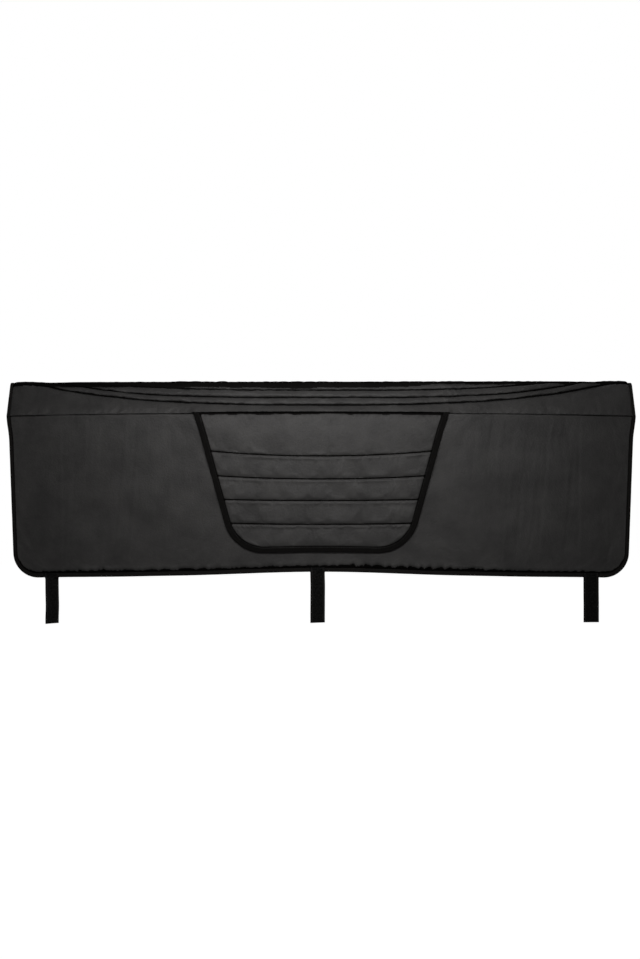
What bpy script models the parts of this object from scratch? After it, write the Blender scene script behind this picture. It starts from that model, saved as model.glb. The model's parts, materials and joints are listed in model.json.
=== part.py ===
"""Tailgate bike pad: a padded cover that hangs over a pickup's tailgate, with a quilted top band,
a front panel with an access flap, a bed panel, edge binding and straps.

Metres. The origin is the middle of the flat underside of the top band, where the pad sits on the
tailgate. The front panel faces -Y, +X runs along the tailgate and +Z is up.
"""

import math

import bmesh
import bpy
from mathutils import Vector

# Fabric and foam
FABRIC = 0.0007  # outer fabric and lining
GAP = 0.0004  # between layers that lie on each other
LOOSE_GAP = 0.0014  # between foam and lining in the band and in the flap, whose faces bend
FOAM = 0.0122
TAPE = 0.0009  # binding tape
SEAM_GAP = 0.0006  # between the band and the panels sewn to it

# Pad, seen from the front
HALF_LENGTH = 0.7705
FLARE = 0.0045  # each end reaches this much further from the seam up
FLARE_FADE = 0.060
FRONT_DROP = 0.3930  # from the seam to the lower edge
BED_SHORTER = 0.0500  # the bed panel ends this much higher
SIDE_TAPER = 1.35  # degrees, of a panel's sides
CORNER_RADIUS = 0.062
SEAM_SAG = 0.0082  # the ends of the seam hang this much lower than its middle
HEM_SAG = 0.0133

# Pad, seen from the end
SADDLE_HALF = 0.0150  # half of the flat that rests on the tailgate
RIDGE_RADIUS = 0.0060
SLOPE_LENGTH = 0.0816
SLOPE_LEAN = 31.5  # degrees from upright, of the band's slopes
PANEL_LEAN = 3.7  # degrees from upright, of the panels
MITRE_RUN = 0.030

# Bound edge
BOUND = 0.0125  # width that the binding covers
ROLL = 0.0180  # over which the pad grows to its full thickness
EDGE_SHARE = 0.70  # height of the bound edge in the pad's thickness

# Quilting of the band: distance over the top, reach along the length and roundness of each line
STITCH_OUT = (0.0485, 0.0730, 0.0955)
STITCH_REACH = (0.876, 0.918, 1.071)
STITCH_ROUND = (3.1, 3.34, 2.65)
PUFF_TOP = 0.0034
PUFF_SIDE = 0.0024
PUFF_LOW = 0.0010
VALLEY = 0.0022
GATHER = 0.0016  # of the fabric along the front panel's lower edge

# Access flap and the window behind it
FLAP_HALF = 0.3115
FLAP_SLANT = 15.4  # degrees
FLAP_MARGIN = 0.0500  # from the flap's lower edge to the panel's
FLAP_RADIUS = 0.104
FLAP_BOUND = 0.0155
FLAP_FOAM = 0.0080
FLAP_LAP = 0.0330  # how far the flap lies over the panel
FLAP_PUFF = 0.0026
FLAP_STITCHES = (0.311, 0.476, 0.631, 0.803)
FLAP_SAGS = (0.010, 0.004, 0.0, 0.0)
FACING = 0.0008
STRIP = 0.0007  # hook tape and loop tape
STRIP_WIDTH = 0.0120

# Straps and rings
STRAP_WIDTH = 0.0380
STRAP_THICK = 0.0015
STRAP_PLACES = (-0.664, -0.008, 0.666)
STRAP_HANGS = (0.114, 0.126, 0.111)  # below the pad's edge
STRAP_TURNS = (38.0, 21.0, 5.0)  # degrees about the upright
STRAP_LAP = 0.0100  # sewn over the binding
TAB_HANG = 0.0130
RING_WIRE = 0.0036
RING_GAP = 0.0100  # of the ring's slot
BIKE_STRAP_PLACES = (-0.600, -0.300, 0.0, 0.300, 0.600)
BIKE_STRAP_WIDTH = 0.0250
BIKE_STRAP_LENGTH = 0.2400
BIKE_STRAP_TOP = 0.0140
PATCH_LENGTH = 0.0600

# Sizes that follow from those above
PAD = FOAM + 2 * (FABRIC + GAP)
BUNDLE = 2 * FABRIC + GAP
EDGE_LEVEL = EDGE_SHARE * PAD
SLOPE = math.radians(SLOPE_LEAN)
LEAN = math.radians(PANEL_LEAN)
DOWN_SLOPE = Vector((math.sin(SLOPE), -math.cos(SLOPE)))
OUT_SLOPE = Vector((math.cos(SLOPE), math.sin(SLOPE)))
DOWN_PANEL = Vector((-math.sin(LEAN), -math.cos(LEAN)))
OUT_PANEL = Vector((math.cos(LEAN), -math.sin(LEAN)))
MITRE = (OUT_SLOPE + OUT_PANEL) / (1 + OUT_SLOPE.dot(OUT_PANEL))
ROUND_END = SADDLE_HALF + (RIDGE_RADIUS + PAD) * (math.pi / 2 - SLOPE)
SEAM_AT = ROUND_END + SLOPE_LENGTH
SLOPE_START = Vector((SADDLE_HALF, -RIDGE_RADIUS)) + OUT_SLOPE * (RIDGE_RADIUS + PAD)
SEAM = SLOPE_START + DOWN_SLOPE * SLOPE_LENGTH
RINGS = (0.0, BOUND, BOUND + 0.28 * ROLL, BOUND + 0.6 * ROLL, BOUND + ROLL)
FRONT, BED = -1, 1
FLAP_DROP = FRONT_DROP - FLAP_MARGIN
FLAP_BACK = PAD + 3 * GAP + 2 * STRIP  # height of the flap's underside over the panel's lining
FLAP_TOP = FLAP_BACK + BUNDLE
FLAP_WELL = FLAP_TOP - BUNDLE - GAP - FLAP_FOAM  # the flap's underside inside the window
FAN = math.radians(6)  # between the lines that turn round a corner

bpy.context.preferences.edit.use_global_undo = False
for old in list(bpy.data.objects):
    bpy.data.objects.remove(old, do_unlink=True)
parts = bpy.data.collections.new("tailgate_bike_pad")
cutters = bpy.data.collections.new("cutters")
for group in (parts, cutters):
    bpy.context.scene.collection.children.link(group)
cutters.hide_render = True


def clamp(value, low=0.0, high=1.0):
    return max(low, min(high, value))


def ease(value):
    value = clamp(value)
    return value * value * (3 - 2 * value)


def mix(a, b, share):
    return a + (b - a) * share


def finish(name, color, roughness):
    material = bpy.data.materials.new(name)
    material.use_nodes = True
    shader = material.node_tree.nodes["Principled BSDF"]
    shader.inputs["Base Color"].default_value = (*color, 1)
    shader.inputs["Roughness"].default_value = roughness
    return material


def keep(name, bm, color, roughness=0.7):
    """Makes a sub-part of a closed mesh."""
    bmesh.ops.recalc_face_normals(bm, faces=bm.faces[:])
    mesh = bpy.data.meshes.new(name)
    bm.to_mesh(mesh)
    bm.free()
    obj = bpy.data.objects.new(name, mesh)
    parts.objects.link(obj)
    obj.data.materials.append(finish(name, color, roughness))
    return obj


def slab(name, columns, rows, low, high, color):
    """A sheet with two faces: low and high give the points of each, by column and row."""
    bm = bmesh.new()
    bmesh.ops.create_grid(bm, x_segments=columns, y_segments=rows, size=0.5)
    places = {v: (round((v.co.x + 0.5) * columns), round((v.co.y + 0.5) * rows)) for v in bm.verts}
    for v, (i, j) in places.items():
        v.co = low(i, j)
    back = bmesh.ops.duplicate(bm, geom=bm.verts[:] + bm.edges[:] + bm.faces[:])
    for v, (i, j) in places.items():
        back["vert_map"][v].co = high(i, j)
    rims = [e for e in bm.edges if e.is_boundary]
    bmesh.ops.bridge_loops(bm, edges=rims)
    return keep(name, bm, color)


def tube(name, columns, rows, place, color, closed=False):
    """A skin wrapped round a section: rows go round the section and columns along the path."""
    bm = bmesh.new()
    bmesh.ops.create_grid(bm, x_segments=columns, y_segments=rows, size=0.5)
    for v in bm.verts:
        i, j = round((v.co.x + 0.5) * columns), round((v.co.y + 0.5) * rows)
        v.co = place(i % columns if closed else i, j % rows)
    bmesh.ops.remove_doubles(bm, verts=bm.verts[:], dist=1e-6)
    if not closed:
        bmesh.ops.holes_fill(bm, edges=[e for e in bm.edges if e.is_boundary])
    return keep(name, bm, color)


# Where a point of the pad lies


def hang(point):
    """The hang of the whole pad: its ends sag and reach out a little."""
    below = -point.z
    under = below + SEAM.y
    sag = SEAM_SAG * clamp(below / -SEAM.y) + (HEM_SAG - SEAM_SAG) * clamp(under / FRONT_DROP)
    reach = FLARE * (1 - ease(under / FLARE_FADE))
    along = point.x / HALF_LENGTH
    return Vector((point.x + reach * along, point.y, point.z - sag * along * along))


def on_band(x, over, height):
    """over runs across the top, from the front seam (negative) to the bed seam."""
    side, run = (BED, over) if over >= 0 else (FRONT, -over)
    if run <= SADDLE_HALF:
        out, up = run, height
    elif run <= ROUND_END:
        turn = (run - SADDLE_HALF) / (RIDGE_RADIUS + PAD)
        out = SADDLE_HALF + (RIDGE_RADIUS + height) * math.sin(turn)
        up = (RIDGE_RADIUS + height) * math.cos(turn) - RIDGE_RADIUS
    else:
        down = run - ROUND_END
        slide = MITRE.dot(DOWN_SLOPE) * (height - PAD) * down / SLOPE_LENGTH
        out, up = SLOPE_START + DOWN_SLOPE * (down + slide) + OUT_SLOPE * (height - PAD)
    return hang(Vector((x, side * out, up)))


def on_panel(side, x, down, height):
    """down runs from the seam to the lower edge, height from the lining outwards."""
    slide = MITRE.dot(DOWN_PANEL) * (height - PAD) * clamp(1 - down / MITRE_RUN)
    out, up = SEAM + DOWN_PANEL * (down + slide) + OUT_PANEL * (height - PAD)
    return hang(Vector((x, side * out, up)))


def pad_faces(inset):
    """Heights of the lining's underside and the outer fabric's outside, this far in from the edge."""
    full = ease((inset - BOUND) / ROLL)
    return mix(EDGE_LEVEL - BUNDLE / 2, 0, full), mix(EDGE_LEVEL + BUNDLE / 2, PAD, full)


def spread(count, low=0.0, high=1.0):
    return [mix(low, high, n / count) for n in range(count + 1)]


# Outline of a panel with round lower corners, and nets of points inside it


def corner_of(shape):
    half, slant, drop, radius = shape
    down = drop - radius
    return half - (radius + down * math.sin(slant)) / math.cos(slant), down


def net(shape, rings, rows, cols):
    """Points (x, down, inset) by column and row. The outer rings keep even distances to the outline."""
    half, slant, drop, radius = shape
    corner_x, corner_down = corner_of(shape)
    middle = (slant + math.pi / 2) / 2
    last = len(rings) - 1
    deep, wide = len(rows) - 1, len(cols) - 1
    right, bottom = wide + 2 * last, deep + last
    points = {}

    def both(i, j, x, down, inset):
        points[i, j] = (-x, down, inset)
        points[right - i, j] = (x, down, inset)

    for k, inset in enumerate(rings):
        r, swing = radius - inset, FAN * (last - k)
        end = corner_down + r * math.sin(middle - swing)
        for j, share in enumerate(rows):
            down = share * end
            if down <= corner_down + r * math.sin(slant):
                x = half - down * math.tan(slant) - inset / math.cos(slant)
            else:
                x = corner_x + math.sqrt(r * r - (down - corner_down) ** 2)
            both(k, j, x, down, inset)
        for n in range(1, last - k + 1):
            for turn, spot in ((-n, (k, bottom - k - n)), (n, (k + n, bottom - k)), (0, (k, bottom - k))):
                a = middle + FAN * turn
                both(*spot, corner_x + r * math.cos(a), corner_down + r * math.sin(a), inset)
        end = corner_x + r * math.cos(middle + swing)
        for n, share in enumerate(cols):
            x = share * end
            over = max(0, abs(x) - corner_x)
            points[last + n, bottom - k] = (x, corner_down + math.sqrt(r * r - over * over), inset)
    for j in range(deep):
        side = points[right - last, j][0]
        for n in range(1, wide):
            low = points[last + n, deep][1]
            points[last + n, j] = (cols[n] * side, rows[j] * low, rings[-1])
    return points, right, bottom


def outline(shape, sides, arcs, lows):
    """Stations (x, down, inward x, inward down) round a panel, from its top left to its top right."""
    half, slant, drop, radius = shape
    corner_x, corner_down = corner_of(shape)
    stations = []
    for share in spread(sides):
        down = share * (corner_down + radius * math.sin(slant))
        inward_x = mix(1 / math.cos(slant), math.cos(slant), share)
        stations.append((half - down * math.tan(slant), down, -inward_x, -math.sin(slant) * share))
    for a in spread(arcs, slant, math.pi / 2)[1:]:
        spot = (corner_x + radius * math.cos(a), corner_down + radius * math.sin(a))
        stations.append((*spot, -math.cos(a), -math.sin(a)))
    left = [(-x, down, -in_x, in_down) for x, down, in_x, in_down in stations]
    lower = [(x, drop, 0, -1) for x in spread(lows, -corner_x, corner_x)[1:-1]]
    return left + lower + stations[::-1]


def panel_shape(side):
    drop = FRONT_DROP if side == FRONT else FRONT_DROP - BED_SHORTER
    return HALF_LENGTH, math.radians(SIDE_TAPER), drop, CORNER_RADIUS


FLAP_SHAPE = (FLAP_HALF, math.radians(FLAP_SLANT), FLAP_DROP, FLAP_RADIUS)
WINDOW_SHAPE = (
    FLAP_HALF - FLAP_LAP / math.cos(FLAP_SHAPE[1]),
    FLAP_SHAPE[1],
    FLAP_DROP - FLAP_LAP,
    FLAP_RADIUS - FLAP_LAP,
)
SHELL_BLACK = (0.035, 0.034, 0.033)
LINING_BLACK = (0.020, 0.020, 0.020)
FOAM_GREY = (0.30, 0.30, 0.31)
TAPE_BLACK = (0.008, 0.008, 0.007)
WEBBING_BLACK = (0.012, 0.012, 0.012)
RING_BLACK = (0.015, 0.015, 0.016)


# Top band: outer fabric and foam follow the quilting, the lining lies flat on the tailgate

TOP_STEPS = (0, 0.31, 0.5, 0.7, 1)
SIDE_STEPS = (0.25, 0.5, 0.75, 1)
LOW_STEPS = (0.065, 0.13, 0.195, 0.43, 0.72, 1)
BAND_STEPS = (
    [(0, share, PUFF_TOP) for share in TOP_STEPS]
    + [(1, share, PUFF_SIDE) for share in SIDE_STEPS]
    + [(2, share, PUFF_SIDE) for share in SIDE_STEPS]
    + [(3, share, PUFF_LOW) for share in LOW_STEPS]
)
BAND_ROWS = len(BAND_STEPS) - 1


def stitch_lines(x):
    """Distance over the top of each stitch line at x, and how firmly it is held."""
    lines, held, last = [], [], 0
    x = min(abs(x), HALF_LENGTH - RINGS[-1])
    for out, reach, roundness in zip(STITCH_OUT, STITCH_REACH, STITCH_ROUND, strict=True):
        true = out * (1 - (x / (reach * HALF_LENGTH)) ** roundness)
        last = max(true, last + 0.004)
        lines.append(last)
        held.append(ease(true / 0.012))
    return lines, held


def lip(x):
    """Where the flap hangs, the band's lower edge stands over the flap's top."""
    return (FLAP_TOP + GAP + 2 * TAPE - PAD) * (1 - ease((abs(x) - FLAP_HALF) / 0.012))


def quilted(x, row):
    """Distance over the top, and height over the plain pad, of a row of the band at x."""
    lines, held = stitch_lines(x)
    channel, share, puff = BAND_STEPS[abs(row)]
    bounds = [0, *lines, SEAM_AT - SEAM_GAP / 2]
    puff *= clamp((bounds[channel + 1] - bounds[channel]) / 0.018)
    near = VALLEY * held[channel - 1] + puff if channel else 0
    if channel < 3:
        far = VALLEY * held[channel] + puff
    else:
        far = puff - (lip(x) if row < 0 else 0)
    over = mix(bounds[channel], bounds[channel + 1], share)
    return (over if row >= 0 else -over), puff - near * (1 - share) ** 4 - far * share**4


def band_columns(rings):
    inner = [(HALF_LENGTH - rings[-1]) * (1.25 * u - 0.25 * u**3) for u in spread(20, -1, 1)]
    ends = [(HALF_LENGTH - inset, inset) for inset in rings[:-1]]
    return [(-x, inset) for x, inset in ends] + [(x, rings[-1]) for x in inner] + ends[::-1]


def band_layer(name, rings, inside, outside, color):
    """inside and outside turn the heights of the pad's two faces into this layer's own."""
    columns = band_columns(rings)

    def face(pick):
        def place(i, j):
            x, inset = columns[i]
            low, high = pad_faces(inset)
            over, rise = quilted(x, j - BAND_ROWS)
            return on_band(x, over, pick(low, high + rise * ease((inset - BOUND) / ROLL)))

        return place

    slab(name, len(columns) - 1, 2 * BAND_ROWS, face(inside), face(outside), color)


def shell_inside(low, high):
    return high - FABRIC


def shell_outside(low, high):
    return high


def foam_inside(low, high):
    return low + FABRIC + GAP


def loose_foam_inside(low, high):
    return low + FABRIC + LOOSE_GAP


def foam_outside(low, high):
    return high - FABRIC - GAP


def lining_inside(low, high):
    return low


def lining_outside(low, high):
    return low + FABRIC


band_layer("top_shell", RINGS, shell_inside, shell_outside, SHELL_BLACK)
band_layer("top_foam", RINGS[2:], loose_foam_inside, foam_outside, FOAM_GREY)
over_ridge = spread(5, SADDLE_HALF, ROUND_END)
over_ridge = [-over for over in over_ridge[::-1]] + over_ridge
seam_edge = SEAM_AT - SEAM_GAP / 2
lining_columns = band_columns(RINGS)


def band_lining(name, overs):
    def face(height):
        def place(i, j):
            x, inset = lining_columns[i]
            return on_band(x, overs[j], pad_faces(inset)[0] + height)

        return place

    slab(name, len(lining_columns) - 1, len(overs) - 1, face(0), face(FABRIC), LINING_BLACK)


band_lining("top_lining", over_ridge)
band_lining("front_slope_lining", (-seam_edge, -ROUND_END - SEAM_GAP))
band_lining("bed_slope_lining", (ROUND_END + SEAM_GAP, seam_edge))

# Front and bed panels


def panel_layer(name, side, skip, rows, cols, inside, outside, color, gather=0.0):
    """skip leaves out the outermost rings, where the foam stops short of the bound edge."""
    points, right, bottom = net(panel_shape(side), RINGS, spread(rows), spread(cols, -1, 1))
    bunch = dict(zip(RINGS, (0, 0, 0.8, 1, 0), strict=True))

    def face(pick):
        def place(i, j):
            x, down, inset = points[i + skip, j]
            low, high = pad_faces(inset)
            if j >= rows and len(RINGS) - 1 < i + skip < right - len(RINGS) + 1 and i % 2:
                high += gather * bunch[inset]
            return on_panel(side, x, max(down, SEAM_GAP / 2), pick(low, high))

        return place

    return slab(name, right - 2 * skip, bottom - skip, face(inside), face(outside), color)


front_layers = (
    panel_layer("front_shell", FRONT, 0, 5, 48, shell_inside, shell_outside, SHELL_BLACK, GATHER),
    panel_layer("front_foam", FRONT, 2, 5, 12, foam_inside, foam_outside, FOAM_GREY),
    panel_layer("front_lining", FRONT, 0, 5, 12, lining_inside, lining_outside, LINING_BLACK),
)
panel_layer("bed_shell", BED, 0, 4, 16, shell_inside, shell_outside, SHELL_BLACK)
panel_layer("bed_foam", BED, 2, 4, 8, foam_inside, foam_outside, FOAM_GREY)
panel_layer("bed_lining", BED, 0, 4, 8, lining_inside, lining_outside, LINING_BLACK)

# Window in the front panel, and the facing sewn round its edge

window = outline(WINDOW_SHAPE, 4, 9, 6)


def on_slant(x, down, height, share=1.0):
    """As on_panel, with the flap's slanted sides kept straight where the layers turn at the seam."""
    slide = MITRE.dot(DOWN_PANEL) * (height - PAD) * clamp(1 - down / MITRE_RUN)
    inward = math.copysign(math.tan(FLAP_SHAPE[1]), x)
    return on_panel(FRONT, x - slide * inward * share, down, height)


def window_wall(i, j):
    x, down, _, _ = above[j]
    return on_slant(x, down, (-0.010, PAD + 0.020)[i])


above = [(window[0][0], -0.020, 0, 0), *window, (window[-1][0], -0.020, 0, 0)]
window_cutter = tube("window_cutter", 1, len(above), window_wall, LINING_BLACK)
parts.objects.unlink(window_cutter)
cutters.objects.link(window_cutter)
window_cutter.hide_render = True
window_cutter.display_type = "WIRE"
for layer in front_layers:
    cut = layer.modifiers.new("window", "BOOLEAN")
    cut.object = window_cutter
    cut.operation = "DIFFERENCE"
    cut.solver = "EXACT"

FACING_SECTION = ((GAP, 0), (GAP + FACING, 0), (GAP + FACING, PAD), (GAP, PAD))


def window_edge(i, j):
    x, down, in_x, in_down = window[i]
    inset, height = FACING_SECTION[j]
    down = max(down + in_down * inset, SEAM_GAP / 2)
    return on_slant(x + in_x * inset, down, height)


tube("window_facing", len(window) - 1, len(FACING_SECTION), window_edge, LINING_BLACK)

# Access flap, sewn into the seam above the window

FLAP_RINGS = (0.0, FLAP_BOUND, FLAP_BOUND + 0.007, FLAP_LAP - 0.004, FLAP_LAP + 0.007, FLAP_LAP + 0.014)
FLAP_INNER = FLAP_DROP - FLAP_RINGS[-1]
FLAP_MARKS = (0, *(share * FLAP_DROP / FLAP_INNER for share in FLAP_STITCHES), 1)
flap_rows, flap_puffs = [0], [0]
for first, last, steps in zip(FLAP_MARKS[:-1], FLAP_MARKS[1:], (4, 3, 3, 3, 2), strict=True):
    for step in range(1, steps + 1):
        share = step / steps if last < 1 else 0.5 * step / steps
        flap_rows.append(mix(first, last, step / steps))
        flap_puffs.append(1 - (1 - share) ** 4 - share**4)


def flap_sag(share):
    """How much higher a stitch line's ends are than its middle, beyond the bow of the rows."""
    sags = (0, *FLAP_SAGS, 0)
    for k in range(len(FLAP_MARKS) - 1):
        if share <= FLAP_MARKS[k + 1]:
            step = (share - FLAP_MARKS[k]) / (FLAP_MARKS[k + 1] - FLAP_MARKS[k])
            return mix(sags[k], sags[k + 1], step)
    return 0


def flap_layer(name, skip, inside, outside, color):
    points, right, bottom = net(FLAP_SHAPE, FLAP_RINGS, flap_rows, spread(8, -1, 1))
    slant = FLAP_SHAPE[1]

    def face(pick):
        def place(i, j):
            x, down, inset = points[i + skip, j]
            share, puff = (flap_rows[j], flap_puffs[j]) if j < len(flap_rows) else (1, 0.875)
            puff *= FLAP_PUFF
            lift = flap_sag(share) * (x / FLAP_HALF) ** 2 * ease(inset / FLAP_BOUND)
            side = FLAP_HALF - down * math.tan(slant) - inset / math.cos(slant)
            x += lift * math.tan(slant) * x / side
            down -= lift
            low = mix(FLAP_BACK, FLAP_WELL - 0.3 * puff, ease((inset - FLAP_LAP - 0.003) / 0.010))
            high = FLAP_TOP + puff * ease((inset - FLAP_BOUND) / 0.014)
            return on_slant(x, max(down, SEAM_GAP / 2), pick(low, high), abs(x) / side)

        return place

    slab(name, right - 2 * skip, bottom - skip, face(inside), face(outside), color)


flap_layer("flap_shell", 0, shell_inside, shell_outside, SHELL_BLACK)
flap_layer("flap_foam", 4, loose_foam_inside, foam_outside, FOAM_GREY)
flap_layer("flap_lining", 0, lining_inside, lining_outside, LINING_BLACK)

# Binding tape: folded over the flap's edge and over the pad's whole edge


def folded(level, leg):
    """Section of a tape folded over an edge: (distance in from the edge, height)."""
    inner = BUNDLE / 2 + GAP
    outer = inner + TAPE
    side = (
        (leg, outer),
        (0, outer),
        (-GAP - 0.7 * TAPE, 0.6 * outer),
        (-GAP - TAPE, 0),
        (-GAP - 0.7 * TAPE, -0.6 * outer),
        (0, -outer),
        (leg, -outer),
        (leg, -inner),
        (-GAP, -inner),
        (-GAP, inner),
        (leg, inner),
    )
    return [(inset, level + height) for inset, height in side]


flap_tape = folded((FLAP_BACK + FLAP_TOP) / 2, FLAP_BOUND - GAP)
flap_edge = outline(FLAP_SHAPE, 5, 9, 6)


def flap_tape_at(i, j):
    x, down, in_x, in_down = flap_edge[i]
    inset, height = flap_tape[j]
    down = max(down + in_down * inset, SEAM_GAP / 2)
    return on_slant(x + in_x * inset, down, height)


tube("flap_binding", len(flap_edge) - 1, len(flap_tape), flap_tape_at, TAPE_BLACK)

edge_tape = folded(EDGE_LEVEL, BOUND - GAP)


def panel_binding(name, side, stations):
    def place(i, j):
        x, down, in_x, in_down = stations[i]
        inset, height = edge_tape[j]
        down = max(down + in_down * inset, SEAM_GAP / 2)
        return on_panel(side, x + in_x * inset, down, height)

    tube(name, len(stations) - 1, len(edge_tape), place, TAPE_BLACK)


def end_binding(name, end):
    overs = [-seam_edge, *over_ridge, seam_edge]

    def place(i, j):
        inset, height = edge_tape[j]
        return on_band(end * (HALF_LENGTH - inset), overs[i], height)

    tube(name, len(overs) - 1, len(edge_tape), place, TAPE_BLACK)


panel_binding("front_binding", FRONT, outline(panel_shape(FRONT), 5, 9, 20))
panel_binding("bed_binding", BED, outline(panel_shape(BED), 4, 9, 10))
end_binding("left_end_binding", -1)
end_binding("right_end_binding", 1)

# Hook tape under the flap's margin and loop tape on the panel, at both sides and at the bottom

STRIP_IN = FLAP_BOUND + 2 * GAP
STRIP_LEVELS = {"loop": PAD + GAP, "hook": PAD + 2 * GAP + STRIP}


def strip(name, ends, level):
    """ends are two stations of the flap's edge; the strip runs between them, inside the binding."""

    def face(height):
        def place(i, j):
            x, down, in_x, in_down = ends[i]
            inset = STRIP_IN + STRIP_WIDTH * j
            return on_slant(x + in_x * inset, down + in_down * inset, height)

        return place

    slab(name, 1, 1, face(level), face(level + STRIP), WEBBING_BLACK)


for kind, level in STRIP_LEVELS.items():
    strip(f"flap_{kind}_left", (flap_edge[1], flap_edge[4]), level)
    strip(f"flap_{kind}_right", (flap_edge[-2], flap_edge[-5]), level)
    strip(f"flap_{kind}_bottom", (flap_edge[15], flap_edge[-16]), level)

# Three straps that hang from the front panel, sewn over its lower binding

TAPE_FACE = EDGE_LEVEL + BUNDLE / 2 + GAP + TAPE + GAP


def strap(name, x, length, turn):
    edge = on_panel(FRONT, x, FRONT_DROP + GAP + TAPE, TAPE_FACE)
    top = on_panel(FRONT, x, FRONT_DROP - STRAP_LAP, TAPE_FACE)

    def face(height):
        def place(i, j):
            if j <= 2:
                spot, yaw = top.lerp(edge, j / 2), 0
            else:
                share = (j - 2) / 12
                fall = length * share
                spot = edge - Vector((0, 0, fall))
                yaw = math.radians(turn) * ease((fall - 0.004) / 0.030)
            across = (i - 1) * STRAP_WIDTH / 2
            forward = Vector((math.sin(yaw), -math.cos(yaw), 0))
            return spot + Vector((math.cos(yaw), math.sin(yaw), 0)) * across + forward * height

        return place

    slab(name, 2, 14, face(0), face(STRAP_THICK), WEBBING_BLACK)


names = ("left", "middle", "right")
for name, x, length, turn in zip(names, STRAP_PLACES, STRAP_HANGS, STRAP_TURNS, strict=True):
    strap(f"front_strap_{name}", x, length, turn)

# Rings on webbing tabs at the bed panel's lower edge, which the straps come back through

LOOP = RING_WIRE / 2 + GAP + STRAP_THICK / 2  # the tab's middle turns round the ring's bar this far out


def tab(name, x):
    edge = on_panel(BED, x, panel_shape(BED)[2] + GAP + TAPE, TAPE_FACE)
    bar = edge + Vector((0, STRAP_THICK / 2 + LOOP, -TAB_HANG))
    rise = TAB_HANG + STRAP_LAP
    path = [(-LOOP, rise), (-LOOP, TAB_HANG), (-LOOP, TAB_HANG / 2)]
    path += [(-LOOP * math.cos(a), -LOOP * math.sin(a)) for a in spread(8, 0, math.pi)]
    close = STRAP_THICK + GAP - LOOP
    path += [(close, TAB_HANG * 0.7), (close, TAB_HANG), (close, rise)]
    path = [Vector(spot) for spot in path]
    across = []
    for k, spot in enumerate(path):
        before = (spot - path[k - 1]).normalized() if k else (path[1] - spot).normalized()
        after = (path[k + 1] - spot).normalized() if k + 1 < len(path) else before
        way = (before + after).normalized()
        normal = Vector((-way.y, way.x)) / max(0.5, way.dot(before))
        across.append(normal)

    def face(sign):
        def place(i, j):
            out, up = path[j] + across[j] * sign * STRAP_THICK / 2
            lean = DOWN_PANEL.x / DOWN_PANEL.y * max(0, up - TAB_HANG)
            return bar + Vector(((i - 0.5) * STRAP_WIDTH, out + lean, up))

        return place

    slab(f"bed_tab_{name}", 1, len(path) - 1, face(-1), face(1), WEBBING_BLACK)

    wide = STRAP_WIDTH / 2 + GAP * 2 + RING_WIRE / 2
    deep = RING_GAP + RING_WIRE
    bend = RING_WIRE
    corners = ((wide, 0, 0), (-wide, 0, 1), (-wide, -deep, 2), (wide, -deep, 3))
    ring = []
    for corner_x, corner_z, quarter in corners:
        middle = Vector((corner_x, corner_z)) - Vector((math.copysign(bend, corner_x), bend if corner_z == 0 else -bend))
        for a in spread(3, quarter * math.pi / 2, (quarter + 1) * math.pi / 2):
            ring.append((middle + Vector((math.cos(a), math.sin(a))) * bend, a))

    def wire(i, j):
        spot, a = ring[i]
        swing = 2 * math.pi * j / 8
        out = RING_WIRE / 2 * math.cos(swing)
        away = Vector((math.cos(a), math.sin(a))) * out
        return bar + Vector((spot.x + away.x, RING_WIRE / 2 * math.sin(swing), spot.y + away.y))

    tube(f"bed_ring_{name}", len(ring), 8, wire, RING_BLACK, closed=True)


for name, x in zip(names, STRAP_PLACES, strict=True):
    tab(name, x)

# Straps with hook ends on the bed side, for the bikes' down tubes


def on_bed(name, x, width, first, last, level, thick, steps):
    def face(height):
        def place(i, j):
            return on_panel(BED, x + (i - 0.5) * width, mix(first, last, j / steps), height)

        return place

    slab(name, 1, steps, face(level), face(level + thick), WEBBING_BLACK)


for k, x in enumerate(BIKE_STRAP_PLACES):
    end = BIKE_STRAP_TOP + BIKE_STRAP_LENGTH
    level = PAD + GAP
    on_bed(f"bike_strap_{k + 1}", x, BIKE_STRAP_WIDTH, BIKE_STRAP_TOP, end, level, STRAP_THICK, 8)
    level += STRAP_THICK + GAP
    on_bed(f"bike_hook_{k + 1}", x, BIKE_STRAP_WIDTH - 0.002, end - PATCH_LENGTH, end - 0.002, level, STRIP, 2)
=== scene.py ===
"""Tailgate bike pad, dressed: quilted cloth over foam, bound edges, webbing straps and rings."""
import json
import math

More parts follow.
